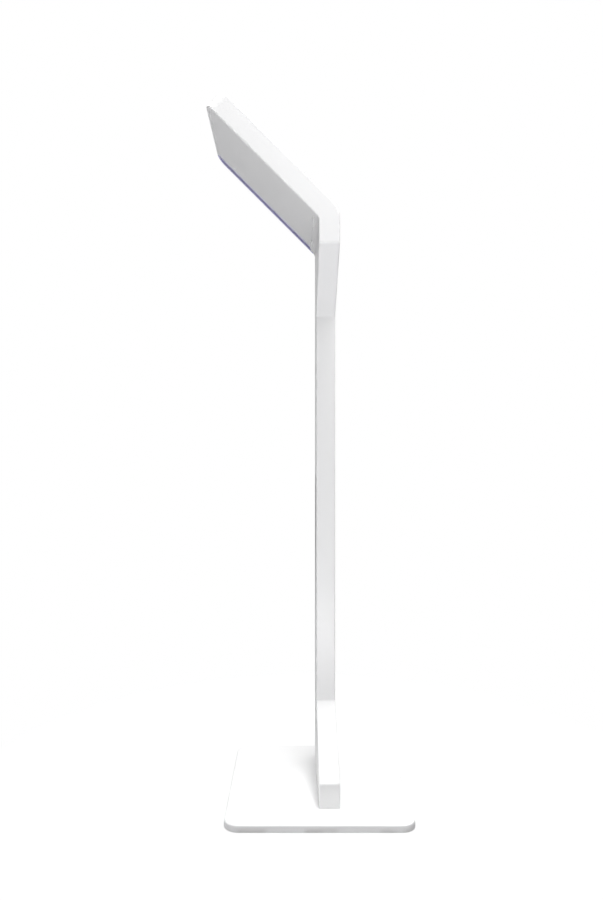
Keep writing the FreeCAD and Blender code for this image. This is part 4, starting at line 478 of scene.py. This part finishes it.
tile_mask, inside, outside = open_group("tile_mask", (
    ("Position", "Vector", None), ("Middle", "Vector", (0.0, 0.0, 0.0)),
    ("Half", "Vector", (10.0, 10.0, 0.0)), ("Round", "Float", 3.0)), (("Mask", "Float"),))
spot = inside["Position"]
away = put(tile_mask, "VectorMath", {0: spot, 1: inside["Middle"]}, operation="SUBTRACT").outputs[0]
away = put(tile_mask, "VectorMath", {0: away}, operation="ABSOLUTE").outputs[0]
past = put(tile_mask, "VectorMath", {0: away, 1: inside["Half"]}, operation="SUBTRACT").outputs[0]
past = put(tile_mask, "SeparateXYZ", {0: past}).outputs
past_x = sum_of(tile_mask, "ADD", past["X"], inside["Round"])
past_y = sum_of(tile_mask, "ADD", past["Y"], inside["Round"])
outer_x = sum_of(tile_mask, "MAXIMUM", past_x, 0.0)
outer_y = sum_of(tile_mask, "MAXIMUM", past_y, 0.0)
beyond = put(tile_mask, "CombineXYZ", {0: outer_x, 1: outer_y}).outputs[0]
beyond = put(tile_mask, "VectorMath", {0: beyond}, operation="LENGTH").outputs["Value"]
within = sum_of(tile_mask, "MINIMUM", sum_of(tile_mask, "MAXIMUM", past_x, past_y), 0.0)
distance = sum_of(tile_mask, "SUBTRACT", sum_of(tile_mask, "ADD", beyond, within), inside["Round"])
tile_mask.links.new(sweep(tile_mask, distance, -0.12, 0.12, 1.0, 0.0), outside["Mask"])

start_page = bpy.data.materials.new("start_page")
start_page.use_nodes = True
tree = start_page.node_tree
page = put(tree, "UVMap", uv_map="page").outputs["UV"]
page_x, page_y, _ = put(tree, "SeparateXYZ", {0: page}).outputs


def tile(middle, half, corner):
    """Mask of one rounded rectangle of the page, in millimetres from the lit area's lower left corner."""
    drawn = {"Position": page, "Middle": (*middle, 0.0), "Half": (*half, 0.0), "Round": corner}
    return put(tree, "Group", drawn, node_tree=tile_mask).outputs["Mask"]


def wave(height, swing, length, start):
    """Mask of everything under a sine line: height + swing * sin(x / length + start)."""
    line = sum_of(tree, "SINE", sum_of(tree, "ADD", sum_of(tree, "DIVIDE", page_x, length), start), 0.0)
    line = sum_of(tree, "ADD", sum_of(tree, "MULTIPLY", line, swing), height)
    return sweep(tree, sum_of(tree, "SUBTRACT", page_y, line), -0.15, 0.15, 1.0, 0.0)


LILAC = (0.62, 0.56, 0.95, 1.0)
PALE = (0.92, 0.93, 1.0, 1.0)
TEAL, CORAL = (0.03, 0.30, 0.34, 1.0), (0.62, 0.13, 0.12, 1.0)
AMBER, VIOLET = (0.75, 0.33, 0.05, 1.0), (0.15, 0.10, 0.50, 1.0)
LIT_WIDE, LIT_HIGH = 160.0, 226.0
ground = blend(tree, sweep(tree, page_y, 0.0, LIT_HIGH, 0.0, 1.0), (0.012, 0.010, 0.045, 1.0),
               (0.075, 0.05, 0.22, 1.0))
for middle, radius, share, colour in (((128.0, 198.0), 70.0, 0.35, (0.16, 0.10, 0.42, 1.0)),
                                      ((20.0, 60.0), 58.0, 0.25, (0.10, 0.08, 0.36, 1.0))):
    disc = sum_of(tree, "MULTIPLY", tile(middle, (radius, radius), radius), share)
    ground = blend(tree, disc, ground, colour)
picture = blend(tree, sweep(tree, page_y, 128.0, 206.0, 0.0, 1.0), (0.95, 0.50, 0.33, 1.0),
                (0.22, 0.17, 0.62, 1.0))
picture = blend(tree, tile((106.0, 176.0), (15.0, 15.0), 15.0), picture, (1.0, 0.80, 0.50, 1.0))
for height, swing, length, start, colour in ((156.0, 8.0, 17.0, 0.6, (0.20, 0.15, 0.48, 1.0)),
                                             (144.0, 6.0, 11.0, 2.2, (0.09, 0.07, 0.28, 1.0)),
                                             (134.0, 4.0, 24.0, 4.4, (0.025, 0.02, 0.11, 1.0))):
    picture = blend(tree, wave(height, swing, length, start), picture, colour)
drawing = blend(tree, tile((80.0, 166.0), (70.0, 42.0), 6.0), ground, picture)
for x, y, half_wide, half_tall, corner, colour in (
        (43.0, 84.0, 33.0, 17.0, 5.0, TEAL), (117.0, 84.0, 33.0, 17.0, 5.0, CORAL),
        (43.0, 44.0, 33.0, 17.0, 5.0, AMBER), (117.0, 44.0, 33.0, 17.0, 5.0, VIOLET),
        (43.0, 84.0, 9.0, 9.0, 9.0, PALE), (46.5, 87.0, 8.0, 8.0, 8.0, TEAL),
        (117.0, 84.0, 8.5, 9.0, 2.0, PALE), (117.0, 80.0, 5.0, 9.0, 5.0, CORAL),
        (34.0, 44.0, 2.2, 5.0, 2.2, PALE), (40.0, 44.0, 2.2, 9.0, 2.2, PALE),
        (46.0, 44.0, 2.2, 6.5, 2.2, PALE), (52.0, 44.0, 2.2, 3.5, 2.2, PALE),
        (117.0, 44.0, 9.5, 9.5, 9.5, PALE), (117.0, 44.0, 6.8, 6.8, 6.8, VIOLET),
        (117.0, 44.0, 3.0, 3.0, 3.0, PALE), (80.0, 216.0, 24.0, 2.4, 2.4, PALE),
        (14.0, 216.0, 3.2, 3.2, 3.2, LILAC), (72.0, 114.0, 1.4, 1.4, 1.4, PALE),
        (80.0, 114.0, 1.4, 1.4, 1.4, LILAC), (88.0, 114.0, 1.4, 1.4, 1.4, LILAC),
        (80.0, 11.0, 5.5, 5.5, 5.5, LILAC), (80.0, 11.0, 2.2, 2.2, 0.5, PALE),
        (56.0, 11.0, 2.6, 2.6, 2.6, LILAC), (104.0, 11.0, 2.6, 2.6, 2.6, LILAC),
        (32.0, 11.0, 2.6, 2.6, 0.8, LILAC), (128.0, 11.0, 2.6, 2.6, 0.8, LILAC)):
    drawing = blend(tree, tile((x, y), (half_wide, half_tall), corner), drawing, colour)
half_page = (LIT_WIDE / 2, LIT_HIGH / 2)
shown = blend(tree, tile(half_page, half_page, 0.01), (0.0, 0.0, 0.0, 1.0), drawing)
smear = put(tree, "TexNoise", {"Vector": page, "Scale": 0.05, "Detail": 6.0, "Distortion": 1.2}).outputs[0]
print_dots = put(tree, "TexNoise", {"Vector": page, "Scale": 4.0, "Detail": 2.0}).outputs[0]
glass_shader = tree.nodes["Principled BSDF"]
border = blend(tree, print_dots, (0.004, 0.004, 0.005, 1.0), (0.008, 0.008, 0.010, 1.0))
tree.links.new(border, glass_shader.inputs["Base Color"])
tree.links.new(shown, glass_shader.inputs["Emission Color"])
tree.links.new(sweep(tree, smear, 0.42, 0.75, 0.03, 0.16), glass_shader.inputs["Roughness"])
glass_shader.inputs["Emission Strength"].default_value = 1.15
glass_shader.inputs["IOR"].default_value = 1.5

touch_pane = head_piece("touch_pane", [pane_skin], [start_page], "stand")
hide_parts("touch_glass")
page_map = touch_pane.data.uv_layers.new(name="page")
loop_points = np.empty(len(touch_pane.data.loops), dtype=np.int32)
touch_pane.data.loops.foreach_get("vertex_index", loop_points)
page_place = (pane_skin[0][loop_points, :2] - glass_low[:2] - LIT_BORDER) * 1000.0
page_map.data.foreach_set("uv", page_place.ravel())

display_shell = bare_metal("display_shell", (0.50, 0.52, 0.56), (0.34, 0.36, 0.40), (60.0, 1500.0, 1500.0),
                           0.05, (0.3, 0.5), 0.00001)
dress(display_shell, "display_panel")

# ------------------------------------------------------------------ light strip
# A smoky acrylic diffuser let into the head's underside that glows deep blue violet at its outer edge; its
# paler inner half is a painted halo, glow standing in for light spilled onto the underside beside it.

strip_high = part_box("light_strip")[1]
smoky_acrylic = moulding("smoky_acrylic", (0.20, 0.18, 0.42), (0.26, 0.24, 0.5), 700.0, (0.2, 0.35), 0.000004,
                         fixed={"Emission Strength": 0.35, "Coat Weight": 0.3})
tree = smoky_acrylic.node_tree
place = put(tree, "TexCoord").outputs["Object"]
across = put(tree, "SeparateXYZ", {0: place}).outputs["X"]
beads = put(tree, "TexWave", {"Vector": place, "Scale": 38.0, "Distortion": 0.0}, bands_direction="Z")
# painted halo: the strip's inner half glows pale lilac in place of light spilled beside it; outer edge deep
# violet
outward = sweep(tree, across, strip_high[0] - 0.008, strip_high[0], 0.0, 1.0)
glow_with_painted_halo = blend(tree, outward, (0.52, 0.48, 0.86, 1.0), (0.12, 0.09, 0.40, 1.0))
beaded = sweep(tree, beads.outputs[0], 0.0, 1.0, 0.0, 0.25)
tree.links.new(blend(tree, beaded, glow_with_painted_halo, (0.7, 0.66, 1.0, 1.0)),
               tree.nodes["Principled BSDF"].inputs["Emission Color"])
dress(smoky_acrylic, "light_strip")

# ------------------------------------------------------------------ main board
# A six-layer board under the display tray, with its parts hanging down towards the cover: processor under
# the heat sink, memory, power coils, capacitors, sockets along the left edge and a row of plug headers.

board_skin, inside, outside = open_group("board_skin", (
    ("Position", "Vector", None), ("Mask", "Color", (0.01, 0.10, 0.05, 1.0)),
    ("Track", "Color", (0.03, 0.20, 0.10, 1.0)), ("Pad", "Color", (0.75, 0.60, 0.28, 1.0))), SKIN_GIVES)
spot = inside["Position"]


def copper_runs(place, space, scale, width, length, height, shift):
    """Tracks as the joints of a brick pattern: long thin bricks, with space the grey of every other one."""
    return put(board_skin, "TexBrick", {
        "Vector": place, "Color1": (0, 0, 0, 1), "Color2": (space, space, space, 1), "Mortar": (1, 1, 1, 1),
        "Scale": scale, "Mortar Size": width, "Brick Width": length, "Row Height": height},
        offset=shift).outputs[0]


runs = copper_runs(spot, 0.15, 90.0, 0.035, 2.2, 0.14, 0.37)
cross = put(board_skin, "Mapping", {"Vector": spot, "Rotation": (0.0, 0.0, math.pi / 2)}).outputs[0]
cross = copper_runs(cross, 0.1, 70.0, 0.04, 1.7, 0.17, 0.43)
district = put(board_skin, "TexVoronoi", {"Vector": spot, "Scale": 42.0}, distance="CHEBYCHEV")
district = put(board_skin, "SeparateColor", {0: district.outputs["Color"]}).outputs
tracks = blend(board_skin, sum_of(board_skin, "GREATER_THAN", district[0], 0.5), runs, cross)
tracks = sum_of(board_skin, "MULTIPLY", tracks, sum_of(board_skin, "GREATER_THAN", district[1], 0.25))
dots = put(board_skin, "TexVoronoi", {"Vector": spot, "Scale": 330.0, "Randomness": 0.35}).outputs["Distance"]
pads = sum_of(board_skin, "MULTIPLY", sweep(board_skin, dots, 0.16, 0.20, 1.0, 0.0),
              sum_of(board_skin, "GREATER_THAN", district[2], 0.62))
masked = blend(board_skin, tracks, inside["Mask"], inside["Track"])
board_skin.links.new(blend(board_skin, pads, masked, inside["Pad"]), outside["Color"])
board_skin.links.new(sweep(board_skin, pads, 0.0, 1.0, 0.38, 0.22), outside["Roughness"])
board_skin.links.new(sum_of(board_skin, "ADD", tracks, pads), outside["Height"])

BOARD_TURN = (-SLOPE, 0.0, 0.0)
solder_mask = finish("solder_mask", board_skin, {}, 0.00004, turn=BOARD_TURN, fixed={"Coat Weight": 0.25})
light_mask = finish("light_mask", board_skin, {
    "Mask": (0.72, 0.73, 0.72, 1.0), "Track": (0.55, 0.56, 0.55, 1.0)}, 0.00004, turn=BOARD_TURN)
dress(solder_mask, "main_board")
dress(light_mask, "light_board")

chip_epoxy = moulding("chip_epoxy", (0.018, 0.018, 0.02), (0.05, 0.05, 0.05), 3500.0, (0.45, 0.6), 0.00001)
ivory_nylon = moulding("ivory_nylon", (0.72, 0.69, 0.60), (0.80, 0.78, 0.70), 1800.0, (0.35, 0.5), 0.00001)
ferrite_grey = moulding("ferrite_grey", (0.13, 0.13, 0.135), (0.2, 0.2, 0.2), 900.0, (0.6, 0.8), 0.00003)
can_metal = bare_metal("can_metal", (0.80, 0.81, 0.83), (0.60, 0.61, 0.63), (900.0, 900.0, 900.0), 0.05,
                       (0.2, 0.45), 0.000004)
board_paints = [chip_epoxy, ivory_nylon, ferrite_grey, can_metal]
EPOXY, NYLON, FERRITE, CAN = range(4)
board_low, board_high = head_box("main_board")
underside = board_low[2]


def hang(x, y, wide, long, deep, paint=EPOXY, edge=0.0003):
    """Rounded part that hangs under the board: its middle, sides and depth in metres."""
    low, high = (x - wide / 2, y - long / 2, underside - deep), (x + wide / 2, y + long / 2, underside)
    return block(low, high, edge * 1.5, edge, paint, steps=2, facets=2)


board_skins = []
for x, y in ((-0.027, 0.140), (-0.027, 0.155), (-0.027, 0.170)):
    board_skins.append(hang(x, y, 0.014, 0.011, 0.0011))
for x, y, side in ((0.060, 0.118, 0.009), (0.060, 0.136, 0.012), (0.058, 0.196, 0.010),
                   (-0.010, 0.198, 0.011), (-0.030, 0.118, 0.007), (0.020, 0.110, 0.006),
                   (0.034, 0.110, 0.006), (0.076, 0.150, 0.005)):
    board_skins.append(hang(x, y, side, side, 0.0012))
for x in (-0.008, 0.003, 0.014):
    board_skins.append(hang(x, 0.0965, 0.0085, 0.0085, 0.0042, FERRITE, edge=0.0006))
can_rows = [(0.0026, 0.0), (0.0031, 0.0003), (0.0031, 0.0009), (0.0028, 0.0011), (0.0031, 0.0013),
            (0.0031, 0.0054), (0.0028, 0.0058), (0.0023, 0.0058), (0.0021, 0.0056), (0.0003, 0.0056)]
for x, y in ((0.026, 0.096), (0.034, 0.096), (0.042, 0.096), (-0.030, 0.104), (0.078, 0.170), (0.078, 0.180),
             (0.010, 0.190)):
    can = lathe([(radius, -depth) for radius, depth in can_rows[::-1]], 20) + (x, y, underside)
    board_skins.append(skin_of(can, start=True, end=True, paint=CAN))
board_skins.append(hang(board_low[0] + 0.009, 0.1885, 0.020, 0.017, 0.0105, CAN, edge=0.0005))
coin = lathe([(0.0094, -0.0036), (0.0100, -0.0032), (0.0100, -0.0002), (0.0096, 0.0)], 40)
board_skins.append(skin_of(coin + (0.060, 0.165, underside), start=True, end=True, paint=CAN))
board_skins.append(hang(0.060, 0.165, 0.005, 0.0225, 0.0042, NYLON))
for y, long in ((0.104, 0.0100), (0.118, 0.0080), (0.132, 0.0060)):
    board_skins.append(hang(0.080, y, 0.006, long, 0.0045, NYLON))
board_skins.append(hang(0.026, 0.2085, 0.044, 0.0055, 0.0026, NYLON))
board_skins.append(hang(0.026, 0.2065, 0.040, 0.0018, 0.0032, EPOXY))
CHIP_TRIES, CHIP_PITCH, CHIP_GAP, BOARD_RIM = 900, 0.0024, 0.0016, 0.004
STANDOFF_X, STANDOFF_Y = (-0.035, 0.081), (0.109, 0.209)
draw = np.random.default_rng(7)
spots = np.column_stack([
    draw.uniform(board_low[side] + BOARD_RIM, board_high[side] - BOARD_RIM, CHIP_TRIES) for side in (0, 1)])
spots = np.unique(np.round(spots / CHIP_PITCH) * CHIP_PITCH, axis=0)
taken = [(*points[:, :2].min(axis=0), *points[:, :2].max(axis=0)) for points, _, _ in board_skins]
for node in ("heat_sink", "power_connector"):
    low, high = head_box(node)
    taken.append((*low[:2], *high[:2]))
taken += [(x - BOARD_RIM, y - BOARD_RIM, x + BOARD_RIM, y + BOARD_RIM) for x in STANDOFF_X for y in STANDOFF_Y]
clear = np.ones(len(spots), dtype=bool)
for left, near, right, far in taken:
    past_low = spots > (left - CHIP_GAP, near - CHIP_GAP)
    past_high = spots < (right + CHIP_GAP, far + CHIP_GAP)
    clear &= ~(past_low & past_high).all(axis=1)
for number, (x, y) in enumerate(spots[clear][::2]):
    wide, long = ((0.0016, 0.0008), (0.0008, 0.0016))[number % 2]
    deep = (0.0005, 0.0008)[number % 3 == 0]
    edge = ring((x - wide / 2, y - long / 2), (x + wide / 2, y + long / 2), 0.0001, 1)
    chip = np.stack([np.column_stack([edge, np.full(8, level)]) for level in (underside - deep, underside)])
    board_skins.append(skin_of(chip, start=True, end=True, paint=(CAN, FERRITE, EPOXY, CAN)[number % 4]))
board_parts = head_piece("board_parts", board_skins, board_paints, "stand")

# ------------------------------------------------------------------ wiring inside the head
# Thin silicone leads run from the speaker, button and light board to the plug headers, and a flat ribbon
# joins the board to the display through the tray.


def soft_line(points, count=40):
    """Smooth curve through the points: each span is a cubic whose ends follow the neighbouring points."""
    points = np.asarray(points, dtype=float)
    padded = np.concatenate([2 * points[:1] - points[1:2], points, 2 * points[-1:] - points[-2:-1]])
    along = np.linspace(0.0, len(points) - 1.0, count)
    span = np.minimum(along.astype(int), len(points) - 2)
    part = (along - span)[:, None]
    before, first, second, after = padded[span], padded[span + 1], padded[span + 2], padded[span + 3]
    straight = 2 * first + (second - before) * part
    bowed = (2 * before - 5 * first + 4 * second - after) * part ** 2
    return 0.5 * (straight + bowed + (3 * first - before - 3 * second + after) * part ** 3)


def tube(line, section, side=(0.0, 0.0, 1.0), paint=0):
    """Closed skin that carries a section, rows of (across, side) offsets, along a line."""
    heading = np.gradient(line, axis=0)
    heading /= np.linalg.norm(heading, axis=1)[:, None]
    wide = np.cross(np.broadcast_to(side, heading.shape), heading)
    wide /= np.linalg.norm(wide, axis=1)[:, None]
    up = np.cross(heading, wide)
    grid = line[:, None] + wide[:, None] * section[None, :, :1] + up[:, None] * section[None, :, 1:]
    return skin_of(grid, start=True, end=True, paint=paint)


def round_section(radius, steps=10):
    """Counterclockwise circle."""
    angle = np.linspace(0.0, 2.0 * np.pi, steps, endpoint=False)
    return radius * np.column_stack([np.cos(angle), np.sin(angle)])


lead_colours = [moulding(name, colour, colour, 1200.0, (0.35, 0.5), 0.000005) for name, colour in (
    ("red_silicone", (0.42, 0.02, 0.02)), ("black_silicone", (0.02, 0.02, 0.022)),
    ("white_silicone", (0.70, 0.70, 0.68)), ("blue_silicone", (0.03, 0.08, 0.35)))]
RED, BLACK, WHITE, BLUE = range(4)
LEAD = round_section(0.00055)
LEAD_PITCH = 0.0013
wiring = []
for paints, squeeze, route in (
        ((RED, BLACK), 1.0, (
            (0.0912, 0.080, 0.0135), (0.0885, 0.081, 0.0130), (0.0860, 0.090, 0.0120), (0.0850, 0.101, 0.0128),
            (0.0830, 0.1035, 0.0142))),
        ((WHITE, BLACK, BLUE), 0.8, (
            (0.0915, 0.1287, 0.0160), (0.0898, 0.1283, 0.0156), (0.0872, 0.1240, 0.0125),
            (0.0850, 0.1190, 0.0130), (0.0830, 0.1175, 0.0142))),
        ((RED, BLACK), 1.0, (
            (0.1010, 0.150, 0.0040), (0.0985, 0.149, 0.0075), (0.0930, 0.143, 0.0110), (0.0865, 0.135, 0.0120),
            (0.0830, 0.1315, 0.0142)))):
    for number, paint in enumerate(paints):
        points = np.array(route)
        points[:, 1] += LEAD_PITCH * number * np.array([1.0, 1.0, 1.0, 1.0, squeeze])
        wiring.append(tube(soft_line(points), LEAD, paint=paint))
wiring_set = head_piece("wiring_set", wiring, lead_colours, "stand")

RIBBON_HALF = 0.018
ribbon_section = np.array([(-1.0, -1.0), (1.0, -1.0), (1.0, 1.0), (-1.0, 1.0)]) * (RIBBON_HALF, 0.0001)
ribbon_line = soft_line([(0.026, 0.2105, 0.0150), (0.026, 0.2160, 0.0148), (0.026, 0.2230, 0.0180),
                         (0.026, 0.2300, 0.0228), (0.026, 0.2400, 0.0238), (0.026, 0.2520, 0.0239)], 60)
ribbon_skin = tube(ribbon_line, ribbon_section, side=(0.0, 0.02, 1.0))
ribbon_film = bare_metal("ribbon_film", (0.62, 0.63, 0.64), (0.12, 0.12, 0.13), (1400.0, 2.0, 2.0), 0.02,
                         (0.25, 0.4), 0.00002, metallic=0.0)
tray_low = head_box("display_tray")[0][2]
plug_skin = block((0.003, 0.2480, tray_low - 0.0042), (0.049, 0.2545, tray_low - 0.0002), 0.0008, 0.0004,
                  paint=1)
display_ribbon = head_piece("display_ribbon", [ribbon_skin, plug_skin], [ribbon_film, ivory_nylon], "stand")

# ------------------------------------------------------------------ speaker
# A small oval-mouthed box speaker behind the pierced grille: textured housing, rolled rubber surround,
# pressed paper cone and dust cap that face the wall, and two solder tags on its inner side.

box_low, box_high = head_box("speaker")
FACE_X = box_high[0]
mouth_y, mouth_z = (box_low[1] + box_high[1]) / 2, (box_low[2] + box_high[2]) / 2
TO_WALL = np.array([(0.0, 1.0, 0.0), (0.0, 0.0, 1.0), (1.0, 0.0, 0.0)])


def wall_piece(name, skins, materials, body):
    """A piece worked out with x up the slope, y out of the screen and z out through the side wall."""
    turned = [(points @ TO_WALL, faces, paint) for points, faces, paint in skins]
    return head_piece(name, turned, materials, body)


shell_skin = block((box_low[1], box_low[2], box_low[0]), (box_high[1], box_high[2], FACE_X - 0.0012), 0.0012,
                   0.0005)
MOUTH_STEPS = 48
half_long, half_high = 0.0175, 0.0058
around = np.linspace(0.0, 2.0 * np.pi, MOUTH_STEPS, endpoint=False)
oval = np.sign(np.cos(around)) * np.abs(np.cos(around)) ** 0.5
mouth_rows = []
for share, rise in ((1.06, -0.0012), (1.06, -0.0006), (1.0, -0.0004), (0.95, 0.0), (0.90, -0.0003),
                    (0.86, -0.0010), (0.55, -0.0024), (0.34, -0.0032), (0.30, -0.0028), (0.18, -0.0020),
                    (0.02, -0.0017)):
    reach = half_high * share
    flank = (half_long - half_high) * min(share, 1.0)
    mouth_rows.append(np.column_stack([reach * np.cos(around) + flank * oval, reach * np.sin(around),
                                       np.full(MOUTH_STEPS, rise)]))
cone_skin = skin_of(np.stack(mouth_rows) + (mouth_y, mouth_z, FACE_X), end=True, paint=1)
tags = [block((tag_y - 0.0012, mouth_z - 0.0009, box_low[0] - 0.0022),
              (tag_y + 0.0012, mouth_z - 0.0004, box_low[0] + 0.0004), 0.0002, 0.00008, 2, steps=1, facets=1)
        for tag_y in (mouth_y - 0.006, mouth_y + 0.006)]
cone_paper = moulding("cone_paper", (0.05, 0.048, 0.046), (0.09, 0.088, 0.085), 600.0, (0.75, 0.9), 0.00005)
speaker_unit = wall_piece("speaker_unit", [shell_skin, cone_skin] + tags,
                          [black_moulding, cone_paper, bright_zinc], "stand")
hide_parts("speaker")

# ------------------------------------------------------------------ power button
# A turned white cap with a shallow dish for the fingertip, and a lit power mark let into it: a broken ring
# and a short bar. Behind it a black switch block is pushed into the sleeve's inner end.

cap_low, cap_high = head_box("power_button")
cap_y, cap_z = (cap_low[1] + cap_high[1]) / 2, (cap_low[2] + cap_high[2]) / 2
CAP = (cap_high[1] - cap_low[1]) / 2
cap_long = cap_high[0] - cap_low[0]
cap_rows = lathe([
    (0.0002, 0.0), (CAP - 0.0006, 0.0), (CAP - 0.0001, 0.0004), (CAP, 0.0010), (CAP, cap_long - 0.0011),
    (CAP - 0.0001, cap_long - 0.0006), (CAP - 0.0004, cap_long - 0.0002), (CAP - 0.0009, cap_long),
    (CAP - 0.0014, cap_long - 0.00005), (CAP * 0.55, cap_long - 0.00045), (CAP * 0.25, cap_long - 0.0006),
    (0.0002, cap_long - 0.00065)], 48)
cap_skin = skin_of(cap_rows + (cap_y, cap_z, cap_low[0]), start=True, end=True)
MARK_RADIUS, MARK_STEPS = 0.0021, 40
MARK = round_section(0.00022)
mark_middle = (cap_y, cap_z, cap_high[0] - 0.0005)
open_turn = np.linspace(math.radians(125), math.radians(415), MARK_STEPS)
mark_ring = MARK_RADIUS * np.column_stack([np.cos(open_turn), np.sin(open_turn), np.zeros(MARK_STEPS)])
mark_bar = np.linspace((0.0, 0.0005, 0.0), (0.0, 0.0026, 0.0), 6)
mark_skins = [tube(mark_ring + mark_middle, MARK), tube(mark_bar + mark_middle, MARK)]
cap_nylon = moulding("cap_nylon", (0.84, 0.84, 0.85), (0.78, 0.78, 0.79), 2600.0, (0.2, 0.35), 0.000006)
mark_light = moulding("mark_light", (0.45, 0.42, 0.85), (0.55, 0.52, 0.95), 900.0, (0.4, 0.6), 0.000002,
                      fixed={"Emission Color": (0.42, 0.36, 1.0, 1.0), "Emission Strength": 0.8})
button_cap = wall_piece("button_cap", [cap_skin], [cap_nylon], "button")
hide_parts("power_button")
button_mark = wall_piece("button_mark", mark_skins, [mark_light], "button")
block_rows = lathe([(0.0002, 0.0), (0.0052, 0.0), (0.0056, 0.0004), (0.0056, 0.0022), (0.0067, 0.0024),
                    (0.0070, 0.0027), (0.0070, 0.0036), (0.0067, 0.0039), (0.0048, 0.0041), (0.0048, 0.0053),
                    (0.0045, 0.0055), (0.0002, 0.0055)], 40)
SEAT_HEIGHT = 0.0040
block_middle = (cap_y, cap_z, head_box("button_ring")[0][0] - SEAT_HEIGHT)
block_skin = skin_of(block_rows + block_middle, start=True, end=True)
button_switch = wall_piece("button_switch", [block_skin], [black_moulding], "stand")

# ------------------------------------------------------------------ service cover
# A folded white sheet with three pressed stiffeners spot welded inside it, and a violet acrylic edge film laid
# along its right side, which carries the light strip's colour over the seam; the film's pale lilac inner band
# is painted glow from the strip.

cover_low, cover_high = head_box("service_cover")
COVER_SKIN = 0.0015
RIB_SHEET = 0.0006


def stiffener(x, low, high):
    """Hat channel along the slope: a flat-topped hump across and a sunk end at both ends."""
    across = np.array([-0.0085, -0.0050, -0.0044, -0.0032, 0.0032, 0.0044, 0.0050, 0.0085])
    hump = np.array([0.0006, 0.0006, 0.0010, 0.0028, 0.0028, 0.0010, 0.0006, 0.0006])
    along = np.array([low, low + 0.0004, low + 0.006, low + 0.010,
                      high - 0.010, high - 0.006, high - 0.0004, high])
    full = np.array([0.0, 0.0, 0.0, 1.0, 1.0, 0.0, 0.0, 0.0])
    height = RIB_SHEET + (hump - RIB_SHEET)[None, :] * full[:, None]
    upper = np.stack([np.broadcast_to(x + across, height.shape),
                      np.broadcast_to(along[:, None], height.shape),
                      COVER_SKIN + height], axis=-1)
    rim = np.concatenate([upper[0], upper[1:, -1], upper[-1, -2::-1], upper[-2:0:-1, 0]])
    skirt = np.stack([rim * (1.0, 1.0, 0.0) + (0.0, 0.0, COVER_SKIN), rim])
    return [skin_of(upper, across=False), skin_of(skirt, start=True)]


RIB_X = (-0.055, -0.008, 0.036)
dimple = [(0.0016, 0.0), (0.0014, 0.00018), (0.0007, 0.00010), (0.0001, 0.00006)]
rib_skins = [skin for x in RIB_X for skin in stiffener(x, 0.040, 0.250)]
rib_skins += [skin_of(lathe(dimple, 14) + (x + side, y, COVER_SKIN + RIB_SHEET), end=True)
              for x in RIB_X for y in np.linspace(0.055, 0.235, 7) for side in (-0.0067, 0.0067)]
cover_stiffeners = head_piece("cover_stiffeners", rib_skins, [galvanised], "cover")

FILM_WIDE, FILM_THICK, FILM_MARGIN, FILM_CORNER = 0.0220, 0.0002, 0.0004, 0.0115
film_right, film_top = cover_high[0] - FILM_MARGIN, cover_high[1] - FILM_MARGIN
turn_in = np.linspace(0.0, np.pi / 2, 12)
straight = np.array([(film_right, cover_low[1] + 0.0007), (film_right, 0.09), (film_right, 0.17)])
bend_in = np.column_stack([np.cos(turn_in), np.sin(turn_in)])
outer = np.concatenate([straight, (film_right - FILM_CORNER, film_top - FILM_CORNER) + FILM_CORNER * bend_in])
inner = outer - (FILM_WIDE, 0.0)
share = np.linspace(0.0, 1.0, 9)[:, None, None]
lower = inner[None] * (1.0 - share) + outer[None] * share
level_of = np.ones(lower.shape[:2] + (1,))
film_grid = np.concatenate([np.concatenate([lower, -FILM_THICK * level_of], axis=-1),
                            np.concatenate([lower[::-1], 0.0 * level_of], axis=-1)])
film_skin = skin_of(film_grid, across=False, along=True)
edge_film = moulding("edge_film", (0.05, 0.05, 0.05), GREY_BLOOM, 900.0, (0.22, 0.34), 0.000003,
                     fixed={"Coat Weight": 0.3})
tree = edge_film.node_tree
band = put(tree, "SeparateXYZ", {0: put(tree, "UVMap", uv_map="band").outputs["UV"]}).outputs["X"]
# painted glow: the film's inner band is pale lilac for the strip's light falling on it; the outer band is its
# own violet
film_tint_with_painted_glow = blend(tree, sweep(tree, band, 0.32, 0.44, 0.0, 1.0), (0.80, 0.80, 0.93, 1.0), (0.20, 0.185, 0.47, 1.0))
tree.links.new(film_tint_with_painted_glow, tree.nodes["Principled BSDF"].inputs["Base Color"])
cover_edge_film = head_piece("cover_edge_film", [film_skin], [edge_film], "cover")
band_map = cover_edge_film.data.uv_layers.new(name="band")
corner_of = np.empty(len(cover_edge_film.data.loops), dtype=np.int32)
cover_edge_film.data.loops.foreach_get("vertex_index", corner_of)
band_rows = np.concatenate([share.ravel(), share.ravel()[::-1]])
band_at = band_rows[corner_of // film_grid.shape[1]]
band_map.data.foreach_set("uv", np.column_stack([band_at, np.full(len(band_at), 0.5)]).ravel())
